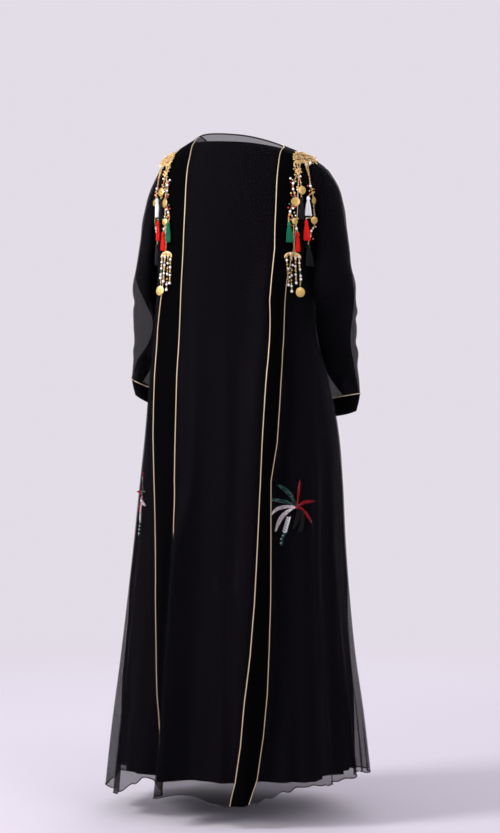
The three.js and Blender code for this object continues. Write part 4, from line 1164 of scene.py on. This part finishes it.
# The thread's and the beads' height at a frond's edge, its ridge, and the beads' spacing.
THREAD_LIFT, BEAD_LIFT, RIDGE, BEAD_ROW, BEAD_STEP = 1.2, 1.9, 1.4, 2, 2.1
silver = finish("silver_sequins", {"Metallic": 0.25, "Specular IOR Level": 0.4}, lambda dye: {
    "Base Color": dye.colours(dye.noise(300), (0.80, 0.78, 0.84), (1.0, 0.98, 1.0)),
    "Roughness": dye.noise(400) * 0.25 + 0.3})
bead_kinds = list(BEADS)
spray_materials = [*BEADS.values(), silver]
sequin = form(lambda bm: bmesh.ops.create_cone(bm, cap_ends=True, segments=10, radius1=1,
                                               radius2=0.35, depth=0.28))
for hand, name in SIDES:
    across, height, turn = HEART[hand]

    def spot(h, v, lift, hand=hand, across=across, height=height, turn=turn):
        return on_back(hand * (across + h), height + v, lift, math.radians(hand * turn))

    def frond_place(way, length, width, droop, f, k):
        cs, sn = math.cos(math.radians(way)), math.sin(math.radians(way))
        turn = math.atan2(2 * droop * f, length * (1.3 - 0.6 * f)) + math.radians(way)
        out, bow = length * f * (1.3 - 0.3 * f), droop * f * f
        half = k * width * look_up(SHAPE, f)
        return (out * cs - bow * sn - half * math.sin(turn),
                out * sn + bow * cs + half * math.cos(turn))

    def trunk_place(f):
        n = min(len(TRUNK) - 2, int(f))
        return [a + (b - a) * (f - n) for a, b in zip(TRUNK[n], TRUNK[n + 1])]

    bm = fresh()
    for way, length, width, droop, kind in FRONDS:
        def base(u, v):
            ridge = THREAD_LIFT + RIDGE * (1 - (2 * u - 1) ** 2)
            return spot(*frond_place(way, length, width, droop, v, 1 - 2 * u), ridge)[0]

        join(bm, surface(6, 18, base), bead_kinds.index("deep_" + kind))
        rows = round(math.hypot(length, droop) / BEAD_ROW)
        for r in range(rows + 1):
            f = r / rows
            half = width * look_up(SHAPE, f)
            count = max(1, round(half * 2 / BEAD_STEP))
            for c in range(count):
                k = (c + 0.5) / count * 2 - 1
                ridge = BEAD_LIFT + RIDGE * (1 - k * k)
                chance = draw.random()
                shade = "deep_" + kind if chance > PLAIN_SHARE else kind
                # Some beads are laid grey as painted glints, standing in for highlights on the
                # glass.
                if chance < PAINTED_GLINTS[kind]:
                    shade = "deep_white"
                lay(bm, seed_bead, spot(*frond_place(way, length, width, droop, f, k), ridge)[0],
                    draw.uniform(1.0, 1.4), bead_kinds.index(shade))
    lay(bm, round_bead, spot(0, 0, 3.5)[0], 3.4, bead_kinds.index("red"))
    piece(bm, "beaded_fronds_" + name, spray_materials, ["palm_leaves_" + name])

    bm = fresh()
    for i in range(7):
        h, v = trunk_place(0.05 + i / 6 * 2.7)
        for k in (-1, -0.5, 0, 0.5, 1):
            place, normal = spot(h + k * 2.4 - 6.5 + i * 1.2, v + abs(k) * 3, 3 - abs(k) * 0.4)
            lean = Matrix.Rotation(draw.uniform(-0.35, 0.35), 3, "Z") @ normal
            lay(bm, sequin, place, (1.6, 1.4, 2.2), len(bead_kinds), lean)
    for i in range(13):
        h, v = trunk_place(3 + i / 12 * 2)
        kind = "white" if i % 4 == 2 else "green"
        lay(bm, seed_bead, spot(h + (i % 2) * 2.2, v, 2.2)[0], 1.7, bead_kinds.index(kind))
    piece(bm, "sequined_trunk_" + name, spray_materials, ["palm_stem_" + name])

# ---- Floor, light and camera ---------------------------------------------------------------
# A plain pale floor that fades out into a pale surround, lit by large soft lamps.

# The floor's height in millimetres, its radius, and how far it is whole, both in metres.
FLOOR, FLOOR_REACH, FLOOR_FULL = -1456, 3.6, 1.0
SURROUND = (0.765, 0.72, 0.80, 1)
# Each lamp's name, place, size and power, and the height that they all look at.
LAMPS = (("key", (2.9, 2.3, 1.3), 1.4, 170), ("fill", (-3.4, 2.4, 0.9), 2.2, 50),
         ("front", (0.4, -3.6, 1.4), 2.4, 60))
LIT_HEIGHT = -0.6


def floor_dress(dye):
    place = dye.node("TexCoord", out=3)
    apart = dye.node("VectorMath", {"operation": "LENGTH"}, out=1,
                     i0=dye.node("VectorMath", {"operation": "MULTIPLY"}, i0=place, i1=(1, 1, 0)))
    fade = dye.node("MapRange", {"interpolation_type": "SMOOTHSTEP"}, Value=apart,
                    From_Min=FLOOR_FULL, From_Max=FLOOR_REACH - 0.1, To_Min=1.0, To_Max=0.0)
    return {"Base Color": dye.colours(dye.noise(0.5), (0.56, 0.53, 0.585), (0.57, 0.54, 0.60)),
            "Alpha": fade}


floor = bmesh.new()
bmesh.ops.create_circle(floor, cap_ends=True, segments=96, radius=FLOOR_REACH,
                        matrix=Matrix.Translation((0, 0, FLOOR * MM)))
floor_mesh = bpy.data.meshes.new("studio_floor")
floor.to_mesh(floor_mesh)
floor.free()
studio_floor = bpy.data.objects.new("studio_floor", floor_mesh)
bpy.context.scene.collection.objects.link(studio_floor)
floor_mesh.materials.append(finish("pale_floor", {"Roughness": 0.9, "Specular IOR Level": 0.0},
                                   floor_dress))
studio_floor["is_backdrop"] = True

world = bpy.data.worlds.new("pale_surround")
world.use_nodes = True
world.node_tree.nodes["Background"].inputs["Color"].default_value = SURROUND
world.node_tree.nodes["Background"].inputs["Strength"].default_value = 1.0
bpy.context.scene.world = world
bpy.context.scene.view_settings.view_transform = "Standard"

for name, place, size, power in LAMPS:
    lamp = bpy.data.lights.new(name, "AREA")
    lamp.shape = "DISK"
    lamp.size, lamp.energy = size, power
    light = bpy.data.objects.new(name, lamp)
    light.location = place
    way = Vector((0, 0, LIT_HEIGHT)) - light.location
    light.rotation_euler = way.to_track_quat("-Z", "Y").to_euler()
    bpy.context.scene.collection.objects.link(light)

# The camera's distance, its turn from straight behind, its height and its lens.
DISTANCE, TURN, EYE = 4200, math.radians(17), -603
LENS, SENSOR, SHIFT, FAR_CLIP = 82.5, 36, 6 / 833, 200
camera = bpy.data.cameras.new("camera")
camera.lens, camera.sensor_width = LENS, SENSOR
camera.shift_x, camera.clip_end = SHIFT, FAR_CLIP
view = bpy.data.objects.new("camera", camera)
view.location = Vector((-math.sin(TURN) * DISTANCE, math.cos(TURN) * DISTANCE, EYE)) * MM
view.rotation_euler = (math.pi / 2, 0, math.pi + TURN)
bpy.context.scene.collection.objects.link(view)
bpy.context.scene.camera = view
bpy.context.scene.cycles.transparent_max_bounces = 24

low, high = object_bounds()
